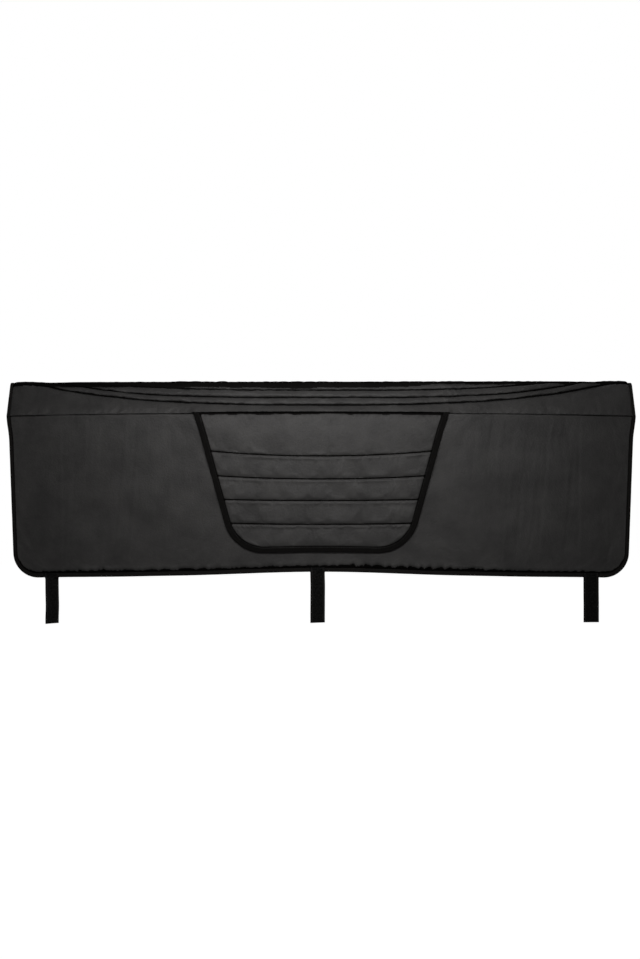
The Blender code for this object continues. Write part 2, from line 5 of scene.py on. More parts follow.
import bmesh
import bpy
import numpy as np
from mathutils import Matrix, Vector

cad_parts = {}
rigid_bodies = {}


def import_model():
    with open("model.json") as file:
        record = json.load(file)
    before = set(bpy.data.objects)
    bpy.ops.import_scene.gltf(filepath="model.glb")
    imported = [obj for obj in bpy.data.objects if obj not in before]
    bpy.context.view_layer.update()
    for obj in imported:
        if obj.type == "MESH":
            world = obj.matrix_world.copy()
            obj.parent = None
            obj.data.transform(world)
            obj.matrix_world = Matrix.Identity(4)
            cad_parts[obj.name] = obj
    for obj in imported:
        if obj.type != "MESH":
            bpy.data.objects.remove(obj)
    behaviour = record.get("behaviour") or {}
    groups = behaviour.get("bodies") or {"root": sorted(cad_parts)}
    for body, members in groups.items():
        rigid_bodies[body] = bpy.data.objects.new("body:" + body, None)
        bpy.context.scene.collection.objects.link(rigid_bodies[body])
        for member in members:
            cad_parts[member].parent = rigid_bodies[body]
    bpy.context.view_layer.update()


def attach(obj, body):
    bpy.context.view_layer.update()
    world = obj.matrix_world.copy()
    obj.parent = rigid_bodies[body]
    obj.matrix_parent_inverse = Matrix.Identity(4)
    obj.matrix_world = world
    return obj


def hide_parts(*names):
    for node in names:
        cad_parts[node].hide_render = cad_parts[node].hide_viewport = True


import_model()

# The top band is coated nylon over 12 mm foam, folded over the tailgate's top edge. Three long arcs
# of stitching on each side quilt it, and draw the cloth into puffed channels with small gathers.
# Its two lower edges are sewn to the front and bed panels, and its ends are bound.

HALF_LENGTH, FLARE, FLARE_FADE = 0.7705, 0.0045, 0.060
FRONT_DROP, SEAM_SAG, HEM_SAG = 0.3930, 0.0082, 0.0133
SADDLE_HALF, RIDGE_RADIUS, SLOPE_LENGTH, MITRE_RUN = 0.0150, 0.0060, 0.0816, 0.030
SLOPE, LEAN = math.radians(31.5), math.radians(3.7)
CLOTH, GAP, FOAM, TAPE, SEAM_GAP = 0.0007, 0.0004, 0.0122, 0.0009, 0.0006
PAD, BUNDLE = FOAM + 2 * (CLOTH + GAP), 2 * CLOTH + GAP
BOUND, ROLL, TUCK = 0.0125, 0.0180, 0.0040
END_BOUND, EDGE_LEVEL = 0.0065, 0.70 * PAD
FRONT, BED = -1, 1

down_slope = np.array((math.sin(SLOPE), -math.cos(SLOPE)))
out_slope = np.array((math.cos(SLOPE), math.sin(SLOPE)))
down_panel = np.array((-math.sin(LEAN), -math.cos(LEAN)))
out_panel = np.array((math.cos(LEAN), -math.sin(LEAN)))
mitre = (out_slope + out_panel) / (1 + out_slope @ out_panel)
round_end = SADDLE_HALF + (RIDGE_RADIUS + PAD) * (math.pi / 2 - SLOPE)
seam_at = round_end + SLOPE_LENGTH
slope_start = np.array((SADDLE_HALF, -RIDGE_RADIUS)) + out_slope * (RIDGE_RADIUS + PAD)
seam = slope_start + down_slope * SLOPE_LENGTH


def ease(value):
    value = np.clip(value, 0, 1)
    return value * value * (3 - 2 * value)


def hang(x, y, z):
    """The hang of the whole pad: its ends sag and reach out a little."""
    under = -z + seam[1]
    sag = SEAM_SAG * np.clip(z / seam[1], 0, 1) + (HEM_SAG - SEAM_SAG) * np.clip(under / FRONT_DROP, 0, 1)
    reach = FLARE * (1 - ease(under / FLARE_FADE))
    along = x / HALF_LENGTH
    return np.stack((x + reach * along, y, z - sag * along * along), -1)


def on_band(x, over, height):
    """A point of the band: over runs across the top from the front seam to the bed seam."""
    x, over, height = np.broadcast_arrays(x, over, height)
    run = np.abs(over)
    turn = np.clip((run - SADDLE_HALF) / (RIDGE_RADIUS + PAD), 0, math.pi / 2 - SLOPE)
    down = np.maximum(run - round_end, 0)
    down = down * (1 + mitre @ down_slope * (height - PAD) / SLOPE_LENGTH)
    out = np.minimum(run, SADDLE_HALF) + (RIDGE_RADIUS + height) * np.sin(turn) + down_slope[0] * down
    up = (RIDGE_RADIUS + height) * np.cos(turn) - RIDGE_RADIUS + down_slope[1] * down
    return hang(x, np.where(over >= 0, out, -out), up)


def on_panel(side, x, down, height):
    """A point of a panel: down runs from the seam, height from the lining outwards."""
    x, down, height = np.broadcast_arrays(x, down, height)
    slid = down + mitre @ down_panel * (height - PAD) * np.clip(1 - down / MITRE_RUN, 0, 1)
    out = seam[0] + down_panel[0] * slid + out_panel[0] * (height - PAD)
    up = seam[1] + down_panel[1] * slid + out_panel[1] * (height - PAD)
    if side == FRONT:
        away = np.abs(x)
        slack = 0.0012 + 0.0068 * ease(away / 0.36) - 0.0036 * ease((away - 0.46) / 0.28)
        up = up - slack * np.clip(down / FRONT_DROP, 0, 1.02)
    return hang(x, side * out, up)


def waves(u, v, seed):
    """Smooth random waves, one unit long and about one high."""
    lattice = np.random.default_rng(seed).uniform(-1, 1, (256, 256))
    u, v = np.broadcast_arrays(u, v)
    i, j = np.floor(u).astype(int), np.floor(v).astype(int)
    a, b = ease(u - i), ease(v - j)
    low = lattice[i % 256, j % 256] * (1 - a) + lattice[(i + 1) % 256, j % 256] * a
    high = lattice[i % 256, (j + 1) % 256] * (1 - a) + lattice[(i + 1) % 256, (j + 1) % 256] * a
    return low * (1 - b) + high * b


def only(piece):
    """Selects this piece alone."""
    bpy.ops.object.select_all(action="DESELECT")
    piece.select_set(True)
    bpy.context.view_layer.objects.active = piece


def read(rows, what, width=1, kind=float):
    """The named value, or values, of every vertex, corner or face."""
    values = np.empty(len(rows) * width, dtype=kind)
    rows.foreach_get(what, values)
    return values.reshape(-1, width) if width > 1 else values


def grid_piece(name, outer, marks, deep=None):
    """A sheet of cloth through a grid of points. Its UV map is its own lengths in metres, and deep
    marks the needle lines and folds, where the cloth is painted dark as shade."""
    wide, long = outer.shape[:2]
    bpy.ops.object.select_all(action="DESELECT")
    bpy.ops.mesh.primitive_grid_add(x_subdivisions=wide - 1, y_subdivisions=long - 1, size=2)
    piece = bpy.context.object
    piece.name = piece.data.name = name
    mesh = piece.data
    flat = read(mesh.vertices, "co", 3)
    i = np.rint((flat[:, 0] + 1) / 2 * (wide - 1)).astype(int)
    j = np.rint((flat[:, 1] + 1) / 2 * (long - 1)).astype(int)
    mesh.vertices.foreach_set("co", outer[i, j].ravel())
    corner = read(mesh.loops, "vertex_index", kind=int)
    mesh.uv_layers[0].name = "cloth"
    mesh.uv_layers[0].uv.foreach_set("vector", marks[i, j][corner].ravel())
    if deep is not None:
        folds = mesh.attributes.new("deep", "FLOAT", "POINT")
        sunk = np.clip(np.broadcast_to(deep, outer.shape[:2]), 0, 1)
        folds.data.foreach_set("value", sunk[i, j].astype("f"))
    mesh.update()
    return piece, i, j


def settle(piece, sewn, spare, puff, cap, steps=14):
    """Lets the cloth find its own gathers: sewn points stay, and the rest has a little spare length."""
    mesh = piece.data
    rest = read(mesh.vertices, "co", 3)
    group = piece.vertex_groups.new(name="sewn")
    for k, weight in enumerate(sewn):
        if weight > 0.01:
            group.add([k], float(weight), "REPLACE")
    cloth = piece.modifiers.new("cloth", "CLOTH")
    laid = cloth.settings
    laid.quality, laid.mass, laid.air_damping = 4, 0.15, 2.0
    laid.tension_stiffness = laid.compression_stiffness = 12
    laid.shear_stiffness, laid.bending_stiffness = 6, 0.08
    laid.vertex_group_mass = "sewn"
    laid.pin_stiffness = 1.0
    laid.shrink_min = -spare
    laid.use_pressure, laid.uniform_pressure_force = True, puff
    laid.effector_weights.gravity = 0
    cloth.collision_settings.use_collision = False
    cloth.point_cache.frame_start, cloth.point_cache.frame_end = 1, steps
    for frame_number in range(1, steps + 1):
        bpy.context.scene.frame_set(frame_number)
    evaluated = piece.evaluated_get(bpy.context.evaluated_depsgraph_get())
    moved = read(evaluated.data.vertices, "co", 3)
    bpy.context.scene.frame_set(1)
    piece.modifiers.remove(cloth)
    piece.vertex_groups.clear()
    normals = read(mesh.vertex_normals, "vector", 3)
    shift = moved - rest
    out = (shift * normals).sum(1, keepdims=True)
    shift += normals * (np.clip(out, -0.0008, cap) - out)
    size = np.linalg.norm(shift, axis=1, keepdims=True)
    shift *= np.minimum(1, cap / np.maximum(size, 1e-9))
    mesh.vertices.foreach_set("co", (rest + shift).ravel())
    mesh.update()


def close_pad(piece, i, j, under, step):
    """Closes the sheet into one padded body, with a coarser underside that meets it round the rim."""
    bm = bmesh.new()
    bm.from_mesh(piece.data)
    bm.verts.ensure_lookup_table()
    top = {(a, b): bm.verts[k] for k, (a, b) in enumerate(zip(i.tolist(), j.tolist()))}
    last_i, last_j = i.max(), j.max()
    columns, rows = list(range(0, last_i + 1, step)), list(range(0, last_j + 1, step))
    below = {(a, b): bm.verts.new(under[a, b]) for a in columns for b in rows}
    for a in columns[:-1]:
        for b in rows[:-1]:
            bm.faces.new((below[a, b], below[a, b + step], below[a + step, b + step], below[a + step, b]))
    for a in columns[:-1]:
        run = [top[a + n, 0] for n in range(step + 1)]
        bm.faces.new([below[a, 0], below[a + step, 0], *run[::-1]])
        run = [top[a + n, last_j] for n in range(step + 1)]
        bm.faces.new([below[a + step, last_j], below[a, last_j], *run])
    for b in rows[:-1]:
        run = [top[0, b + n] for n in range(step + 1)]
        bm.faces.new([below[0, b + step], below[0, b], *run])
        run = [top[last_i, b + n] for n in range(step + 1)]
        bm.faces.new([below[last_i, b], below[last_i, b + step], *run[::-1]])
    bmesh.ops.recalc_face_normals(bm, faces=bm.faces[:])
    bm.to_mesh(piece.data)
    bm.free()


def finer(piece):
    """Subdivides the piece once and shades it smooth."""
    smooth = piece.modifiers.new("smooth", "SUBSURF")
    smooth.levels = smooth.render_levels = 1
    only(piece)
    bpy.ops.object.modifier_apply(modifier="smooth")
    bpy.ops.object.shade_smooth()


def plug(node, *inputs, **named):
    """Fills a node's inputs, in order or by name, with outputs to link or with plain values."""
    for key, value in [*enumerate(inputs), *named.items()]:
        socket = node.inputs[key if isinstance(key, int) else key.replace("_", " ")]
        if isinstance(value, bpy.types.NodeSocket):
            node.id_data.links.new(value, socket)
        else:
            socket.default_value = value


def add(nodes, kind, *inputs, **values):
    """A new node with its settings and inputs."""
    node = nodes.new(kind)
    for key in [key for key in values if hasattr(node, key)]:
        setattr(node, key, values.pop(key))
    plug(node, *inputs, **values)
    return node


def bare_finish(name, gloss, roughness=0.5):
    """A new finish with its nodes and its shader."""
    made = bpy.data.materials.new(name)
    made.use_nodes = True
    shader = made.node_tree.nodes["Principled BSDF"]
    plug(shader, Roughness=roughness, Specular_IOR_Level=gloss)
    return made, made.node_tree.nodes, shader


def noise(nodes, place=None, **values):
    """Noise through the piece, or over its cloth."""
    place = place or add(nodes, "ShaderNodeTexCoord").outputs["Object"]
    return add(nodes, "ShaderNodeTexNoise", place, **values).outputs["Fac"]


def two_tone(nodes, pattern, dark, light):
    """A shade that the pattern takes from dark to light."""
    shade = add(nodes, "ShaderNodeMix", data_type="RGBA", Factor=pattern, A=(*dark, 1), B=(*light, 1))
    return shade.outputs["Result"]


def raised(nodes, pattern, strength, high, **more):
    """Threads, grain or crinkles, this high."""
    relief = add(nodes, "ShaderNodeBump", Strength=strength, Distance=high, Height=pattern, **more)
    return relief.outputs[0]


WAVE = 0.314


def threads(nodes, cloth, way, scale, **more):
    """Even threads one way of the cloth; at scale 1 they are one WAVE apart."""
    laid = add(nodes, "ShaderNodeTexWave", cloth, bands_direction=way, Scale=scale, **more)
    return laid.outputs["Fac"]


def woven_finish(name, dark, light, roughness, pitch, crinkle, gloss):
    """Cloth: plain weave at its pitch, fine crinkles, soft random changes of tone, and painted shade near
    black where deep marks folds.
    """
    made, nodes, shader = bare_finish(name, gloss)
    cloth = add(nodes, "ShaderNodeUVMap", uv_map="cloth").outputs[0]
    warp, weft = (threads(nodes, cloth, way, WAVE / pitch) for way in "XY")
    over = add(nodes, "ShaderNodeMath", warp, weft, operation="MULTIPLY").outputs[0]
    patches = noise(nodes, Scale=14.0, Detail=4.0, Roughness=0.6)
    creases = noise(nodes, Scale=190.0, Detail=4.0, Roughness=0.62)
    spread = add(nodes, "ShaderNodeMapRange", patches, From_Min=0.35, From_Max=0.65).outputs[0]
    # Where the deep attribute marks folds, the colour is mixed towards near black: painted shade.
    folds = add(nodes, "ShaderNodeAttribute", attribute_name="deep").outputs["Fac"]
    painted_fold_shade = add(nodes, "ShaderNodeMix", data_type="RGBA", Factor=folds,
                    A=two_tone(nodes, spread, dark, light), B=(0.0012, 0.0011, 0.0010, 1))
    worn = add(nodes, "ShaderNodeMapRange", creases, To_Min=roughness - 0.07, To_Max=roughness + 0.07)
    weave = raised(nodes, over, 0.8, pitch * 0.22, Normal=raised(nodes, creases, 1.0, crinkle))
    plug(shader, Base_Color=painted_fold_shade.outputs["Result"], Roughness=worn.outputs[0], Normal=weave)
    return made


def dress(piece, material, slot, *nodes):
    """Gives a piece its finish and its place in the part; faces in deep folds take a darker, dull copy of the
    nylon as painted shade.
    """
    mesh = piece.data
    mesh.materials.clear()
    mesh.materials.append(material)
    # Faces that lie mostly inside the deep mark take the darker nylon: painted shade.
    if "deep" in mesh.attributes:
        mesh.materials.append(painted_shade_nylon)
        sunk = read(mesh.attributes["deep"].data, "value")[read(mesh.loops, "vertex_index", kind=int)]
        first, count = (read(mesh.polygons, what, kind=int) for what in ("loop_start", "loop_total"))
        within_fold = np.add.reduceat(sunk, first) / count > 0.5
        mesh.polygons.foreach_set("material_index", within_fold.astype(np.int32))
        mesh.update()
    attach(piece, "root")
    if nodes:
        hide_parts(*nodes)


coated_nylon = woven_finish(
    "coated_nylon", (0.0155, 0.0149, 0.0147), (0.0235, 0.0226, 0.0221), 0.45, 0.0006, 0.0011, 0.08)
# A darker copy of the nylon with no gloss, for painted shade in folds and seams and on the crown.
painted_shade_nylon = woven_finish(
    "painted_shade_nylon", (0.0060, 0.0057, 0.0055), (0.0085, 0.0081, 0.0078), 0.85, 0.0006, 0.0011, 0.0)

STITCH_OUT, STITCH_REACH, STITCH_ROUND = (0.0490, 0.0712, 0.0936), (0.925, 0.965, 1.071), (3.1, 3.34, 2.65)
PUFFS, VALLEY, CREASE, NEEDLE = (0.0026, 0.0034, 0.0034, 0.0022), 0.0062, 0.0018, 0.0021
FLAP_HALF, FLAP_FOAM, STRIP = 0.3115, 0.0080, 0.0007
flap_back = PAD + 3 * GAP + 2 * STRIP
flap_top = flap_back + BUNDLE


def stitch_lines(x):
    """Distance over the top of each arc at x, and how firmly it is held there."""
    lines, held, last = [], [], 0
    near = np.minimum(np.abs(x), HALF_LENGTH - BOUND - ROLL)
    for out, reach, roundness in zip(STITCH_OUT, STITCH_REACH, STITCH_ROUND):
        true = out * (1 - (near / (reach * HALF_LENGTH)) ** roundness)
        last = np.maximum(true, last + 0.004)
        lines.append(last)
        held.append(ease(true / 0.012))
    return lines, held


def lip(x):
    """Over the flap, the band's lower edge stands out to cover the flap's top."""
    return (flap_top + GAP + 2 * TAPE - PAD) * (1 - ease((np.abs(x) - FLAP_HALF) / 0.012))


band_steps = []
for channel, count in enumerate((11, 12, 12, 11)):
    for n in range(count):
        share = math.sin(math.pi / 2 * n / count) if channel == 0 else (1 - math.cos(math.pi * n / count)) / 2
        band_steps.append((channel, share))
band_steps.append((3, 1.0))
inner_x = np.linspace(-1, 1, 249) * 0.7560
near_end = np.array((-0.0040, -0.0066, -0.0082, -0.0104, -0.0124)) + HALF_LENGTH
band_x = np.concatenate((-near_end, inner_x, near_end[::-1]))
band_x = band_x[:, None]
rows, rises, held_rows, deep_rows = [], [], [], []
for side in (FRONT, BED):
    lines, held = stitch_lines(band_x)
    bounds = [0 * band_x, *lines, 0 * band_x + seam_at - SEAM_GAP / 2]
    for channel, share in band_steps:
        width = bounds[channel + 1] - bounds[channel]
        puff = PUFFS[channel] * np.clip(width / 0.018, 0, 1)
        near = held[channel - 1] * np.exp(-width * share / CREASE) if channel else 0
        far = held[channel] * np.exp(-width * (1 - share) / CREASE) if channel < 3 else 0
        swell = puff * (1 - (channel > 0) * (1 - share) ** 3 - share**3)
        if channel == 3:
            swell = swell + (lip(band_x) if side == FRONT else 0) * ease((share - 0.25) / 0.6)
        rows.append(side * (bounds[channel] + width * share))
        rises.append(swell - VALLEY * (near + far) + 0 * band_x)
        on_line, at_seam = channel and share == 0, share == 1 and channel == 3
        held_rows.append(held[channel - 1] if on_line else 0 * band_x + at_seam)
        # Painted shade darkens the cloth along each needle line, and a painted shadow line runs under the
        # band's lip over the flap.
        over_flap = (side == FRONT and channel == 3) * (np.abs(band_x) < FLAP_HALF)
        lip_shadow = over_flap * np.exp(-width * (1 - share) / 0.0012)
        crease_shade_near = held[channel - 1] * np.exp(-((width * share / NEEDLE) ** 2)) if channel else 0
        crease_shade_far = held[channel] * np.exp(-((width * (1 - share) / NEEDLE) ** 2)) if channel < 3 else 0
        deep_rows.append(crease_shade_near + crease_shade_far + lip_shadow + 0 * band_x)
half = len(band_steps)
order = [*range(half - 1, 0, -1), *range(half, 2 * half)]
over = np.concatenate([rows[k] for k in order], 1)
rise = np.concatenate([rises[k] for k in order], 1)
held = np.concatenate([held_rows[k] for k in order], 1)
deep = np.concatenate([deep_rows[k] for k in order], 1)
edge = HALF_LENGTH - np.abs(band_x)
full = 1 - (1 - np.clip((edge - END_BOUND) / 0.010, 0, 1)) ** 2.2
gathers = np.abs(waves(band_x / 0.011 + over * 30, over / 0.02, 3)) * waves(band_x / 0.16, over * 0, 4)
bunch = np.exp(-((band_x + 0.335) / 0.020) ** 2) + 0.8 * np.exp(-((band_x - 0.318) / 0.018) ** 2)
crumpled = 0.5 - np.abs(waves(band_x / 0.009 + over * 25, over / 0.012, 5))
creases = bunch * crumpled * 0.0040 * (np.abs(over) < 0.095)
near_seam = np.exp(-((np.abs(over) - seam_at + 0.007) / 0.006) ** 2)
seam_gather = near_seam * np.abs(waves(band_x / 0.010 - over * 60, over * 0, 6))
soft = 0.0007 * waves(band_x / 0.09, over / 0.03, 7)
# On the front side of the crown, from just off its top out to a wavering edge near the first stitch line, the
# cloth is painted dark as shade.
crown_shade_edge = 0.0360 + 0.0045 * np.exp(-(((band_x + 0.08) / 0.26) ** 2)) - 0.0080 * ease((band_x - 0.18) / 0.12)
crown_shade_edge = crown_shade_edge + 0.0012 * waves(band_x / 0.03, 0, 8)
crown_shade = (1 - ease((-over - crown_shade_edge - 0.001) / 0.009)) * ease((-over - 0.006) / 0.004)
deep = np.maximum(deep, 0.66 * crown_shade)
crown = ease((np.abs(over) - 0.012) / 0.022)
rise = rise + (0.0014 * gathers + creases + soft) * crown - 0.0014 * seam_gather
rise = rise - 0.0024 * (0.5 - band_x / 2 / HALF_LENGTH) * (1 - ease((np.abs(over) - 0.02) / 0.03))
level = EDGE_LEVEL + BUNDLE / 2
top = level + (PAD - level + rise) * full
top_low = (EDGE_LEVEL - BUNDLE / 2) * (1 - ease((edge - BOUND) / ROLL)) + CLOTH + 0.0014
band_marks = np.stack(np.broadcast_arrays(band_x, over), -1)
band_pad, i, j = grid_piece("band_pad", on_band(band_x, over, top), band_marks, deep)
sewn = np.clip(held + (edge <= END_BOUND + 0.0003) + (np.abs(over) < 0.012), 0, 1)
sewn = np.where(np.arange(over.shape[1])[None, :] % (over.shape[1] - 1) == 0, 1, sewn)
settle(band_pad, sewn[i, j], 0.022, 1.0, 0.0032)
close_pad(band_pad, i, j, on_band(band_x, over, np.minimum(top_low + 0 * over, top - 0.0012)), 2)
finer(band_pad)
dress(band_pad, coated_nylon, "outer_fabric", "top_shell", "top_foam")

# Binding tape is ribbed polyester, folded over each raw edge and sewn through. Two short lengths
# close the band's ends, where the end of the tailgate shows.


def face_out(piece):
    """Turns all of the piece's faces outwards."""
    only(piece)
    bpy.ops.object.mode_set(mode="EDIT")
    bpy.ops.mesh.select_all(action="SELECT")
    bpy.ops.mesh.normals_make_consistent(inside=False)
    bpy.ops.object.mode_set(mode="OBJECT")


def wrapped(name, rings):
    """A closed skin over rings of points, one for each station; its UV map is in metres."""
    first, last = rings[:1] * 0.94 + rings[1:2] * 0.06, rings[-1:] * 0.94 + rings[-2:-1] * 0.06
    rings = np.concatenate((rings[:1], first, rings[1:-1], last, rings[-1:]))
    count, around = rings.shape[:2]
    index = np.arange(count * around).reshape(count, around)
    beside = np.roll(index, -1, 1)
    quads = np.stack((index[:-1], beside[:-1], beside[1:], index[1:]), -1).reshape(-1, 4)
    mesh = bpy.data.meshes.new(name)
    faces = quads.tolist() + [index[0][::-1].tolist(), index[-1].tolist()]
    mesh.from_pydata(rings.reshape(-1, 3).tolist(), [], faces)
    closed = np.concatenate((rings, rings[:, :1]), 1)
    across = np.cumsum(np.linalg.norm(np.diff(closed, axis=1, prepend=closed[:, :1]), axis=2), 1).mean(0)
    along = np.cumsum(np.linalg.norm(np.diff(rings, axis=0, prepend=rings[:1]), axis=2).mean(1))
    u, v = np.broadcast_arrays(across[None, :], along[:, None])
    spots = np.stack((u, v), -1)
    corners = np.stack((spots[:-1, :-1], spots[:-1, 1:], spots[1:, 1:], spots[1:, :-1]), 2).reshape(-1, 2)
    caps = np.concatenate((spots[0, :-1][::-1], spots[-1, :-1]))
    mesh.uv_layers.new(name="cloth").uv.foreach_set("vector", np.concatenate((corners, caps)).ravel())
    piece = bpy.data.objects.new(name, mesh)
    bpy.context.scene.collection.objects.link(piece)
    face_out(piece)
    return piece


def folded(leg):
    """Section of a tape folded over an edge: distances in from the edge, and heights about its middle."""
    inner, outer = BUNDLE / 2 + GAP, BUNDLE / 2 + GAP + TAPE
    turn = np.linspace(0, math.pi, 9)[1:-1]
    inset = [leg - 0.0002, leg - 0.001, leg * 0.66, leg * 0.33, 0, *(-(GAP + TAPE) * np.sin(turn))]
    height = [outer - 0.0001, outer, outer, outer, outer, *(outer * np.cos(turn)), -outer, -outer, -outer]
    inset += [0, leg * 0.33, leg * 0.66, leg - 0.001, leg - 0.0002]
    inset += [leg, leg - 0.0002, 0, -GAP, 0, leg - 0.0002, leg]
    height += [-outer, 0.0001 - outer, -inner - TAPE / 2, -inner, -inner, 0, inner, inner, inner + TAPE / 2]
    return np.array(inset)[None, :], np.array(height)[None, :]


def ribbed_finish(name, dark, light, pitch, gloss):
    """Tape: fine ribs across its length, with a soft change of shade."""
    made, nodes, shader = bare_finish(name, gloss, 0.72)
    cloth = add(nodes, "ShaderNodeUVMap", uv_map="cloth").outputs[0]
    ribs = threads(nodes, cloth, "Y", WAVE / pitch, Distortion=0.4)
    shade = two_tone(nodes, noise(nodes, Scale=120.0, Detail=3.0), dark, light)
    plug(shader, Base_Color=shade, Normal=raised(nodes, ribs, 0.9, pitch * 0.35))
    return made


tape_finish = ribbed_finish("tape_finish", (0.0022, 0.0019, 0.0017), (0.0050, 0.0045, 0.0041), 0.0013, 0.05)
tape_in, tape_up = folded(END_BOUND)
end_overs = np.linspace(-seam_at, seam_at, 70)[:, None]
for end, name in ((-1, "left"), (1, "right")):
    uneven = 0.0003 * waves(end_overs / 0.012, 0, 80 + end)
    rings = on_band(end * (HALF_LENGTH - tape_in), end_overs, EDGE_LEVEL + tape_up + uneven)
    end_tape = wrapped(f"{name}_end_tape", rings)
    finer(end_tape)
    dress(end_tape, tape_finish, "binding_tape", f"{name}_end_binding")

# The lining is thin plain-woven polyester, sewn in with the outer cloth. It lies against the
# tailgate, flat and taut, so it shows only from below and behind.


def lay_lining(name, points, marks, window=False, ply=CLOTH * 0.9):
    """A thin sheet of cloth through the points, with the window cut out where it is wanted."""
    piece, _, _ = grid_piece(name, points, marks)
    thick = piece.modifiers.new("thick", "SOLIDIFY")
    thick.thickness, thick.offset = ply, 0
    bpy.context.view_layer.objects.active = piece
    bpy.ops.object.modifier_apply(modifier="thick")
    if window:
        cut_window(piece)
    bpy.ops.object.shade_smooth_by_angle(angle=math.radians(40))
    return piece


def lining_level(inset):
    """Height of the lining's middle, this far in from the bound edge."""
    return (EDGE_LEVEL - BUNDLE / 2) * (1 - ease((inset - BOUND) / ROLL)) + CLOTH / 2


plain_lining = woven_finish(
    "plain_lining", (0.0085, 0.0085, 0.0087), (0.0125, 0.0124, 0.0126), 0.60, 0.0007, 0.0005, 0.12)
lining_x = np.linspace(-1, 1, 140)[:, None] * (HALF_LENGTH - 0.004)
lining_over = np.linspace(-1, 1, 61)[None, :] * (seam_at - 0.0006)
wrinkle = 0.00012 * waves(lining_x / 0.02, lining_over / 0.02, 90)
points = on_band(lining_x, lining_over, lining_level(HALF_LENGTH - np.abs(lining_x)) + wrinkle)
band_lining = lay_lining("band_lining", points, np.stack(np.broadcast_arrays(lining_x, lining_over), -1))
dress(band_lining, plain_lining, "lining", "top_lining", "front_slope_lining", "bed_slope_lining")

# The raw edges of the band and the panels are sewn together, and turn in behind each seam as a
# narrow double fold of the outer cloth. It takes the darker nylon of painted shade, and shows as the dark
# bottom of the seam.

for side, name in ((FRONT, "front"), (BED, "bed")):
    fold_high = lining_level(HALF_LENGTH - np.abs(lining_x)) + CLOTH / 2 + 0.0004
    above = on_band(lining_x, side * (seam_at - np.array(((0.0055, 0.0030, 0.0004),))), fold_high)
    below = on_panel(side, lining_x, np.array(((0.0004, 0.0030, 0.0055),)), fold_high)
    fold_marks = np.stack(np.broadcast_arrays(lining_x, np.arange(6)[None, :] * 0.002), -1)
    points = np.concatenate((above, below), 1)
    turned_in = lay_lining(f"{name}_seam_allowance", points, fold_marks, ply=0.0004)
    dress(turned_in, painted_shade_nylon, "outer_fabric")

# The front and bed panels are the same coated nylon over foam, flat, with round lower corners. The
# cloth is a little longer than the binding that it is sewn into, so it gathers along the lower edge.
# A window for the tailgate's handle is cut through the front one, behind the flap.

SIDE_TAPER, CORNER_RADIUS, BED_SHORTER = math.radians(1.35), 0.062, 0.0500
FLAP_SLANT, FLAP_MARGIN, FLAP_RADIUS, FLAP_LAP, FLAP_BOUND = math.radians(15.4), 0.0500, 0.104, 0.0330, 0.0155
flap_shape = (FLAP_HALF, FLAP_SLANT, FRONT_DROP - FLAP_MARGIN, FLAP_RADIUS)


def corner_of(shape):
    """Centre of the outline's round lower corner."""
    half_width, slant, drop, radius = shape
    down = drop - radius
    return half_width - (radius + down * math.sin(slant)) / math.cos(slant), down


def within(shape, inset):
    half_width, slant, drop, radius = shape
    return half_width - inset / math.cos(slant), slant, drop - inset, radius - inset


def half_at(shape, down):
    """Half of the outline's width at this depth."""
    half_width, slant, _, radius = shape
    corner_x, corner_down = corner_of(shape)
    below = np.clip(down - corner_down, 0, radius)
    arc = corner_x + np.sqrt(np.maximum(radius * radius - below * below, 0))
    return np.where(below > radius * math.sin(slant), arc, half_width - down * math.tan(slant))


def edge_distance(shape, x, down):
    """Distance in from the nearest edge of the outline."""
    half_width, slant, drop, radius = shape
    corner_x, corner_down = corner_of(shape)
    out, low = np.abs(x) - corner_x, down - corner_down
    straight = np.minimum((half_width - down * math.tan(slant) - np.abs(x)) * math.cos(slant), drop - down)
    in_corner = (out > 0) & (low > 0) & (low > out * math.tan(slant))
    return np.where(in_corner, radius - np.hypot(out, low), straight)


SIDE_COLUMNS = (0, 0.0010, 0.0035, 0.0065, 0.0105, 0.0160, 0.0230)


def panel_grid(shape, columns, straight_rows, arc_rows, sides=SIDE_COLUMNS):
    """Grid points (x, down) inside an outline; the first columns keep their distance to its sides."""
    _, slant, _, radius = shape
    _, corner_down = corner_of(shape)
    turn = corner_down + radius * math.sin(slant)
    angles = np.linspace(slant, math.pi / 2, arc_rows + 1)[1:]
    share = np.linspace(0, 1, straight_rows + 1)
    straight = turn * (share - 0.13 * np.sin(2 * math.pi * share))
    downs = np.concatenate((straight, corner_down + radius * np.sin(angles)))
    wide = half_at(shape, downs)[None, :]
    u = np.linspace(-1, 1, columns + 1)[:, None]
    left = [-(wide - inset) for inset in sides]
    inner = u * (wide - 0.030)
    x = np.concatenate((*left, inner, *[-row for row in left[::-1]]), 0)
    return x, np.broadcast_to(downs[None, :], x.shape)


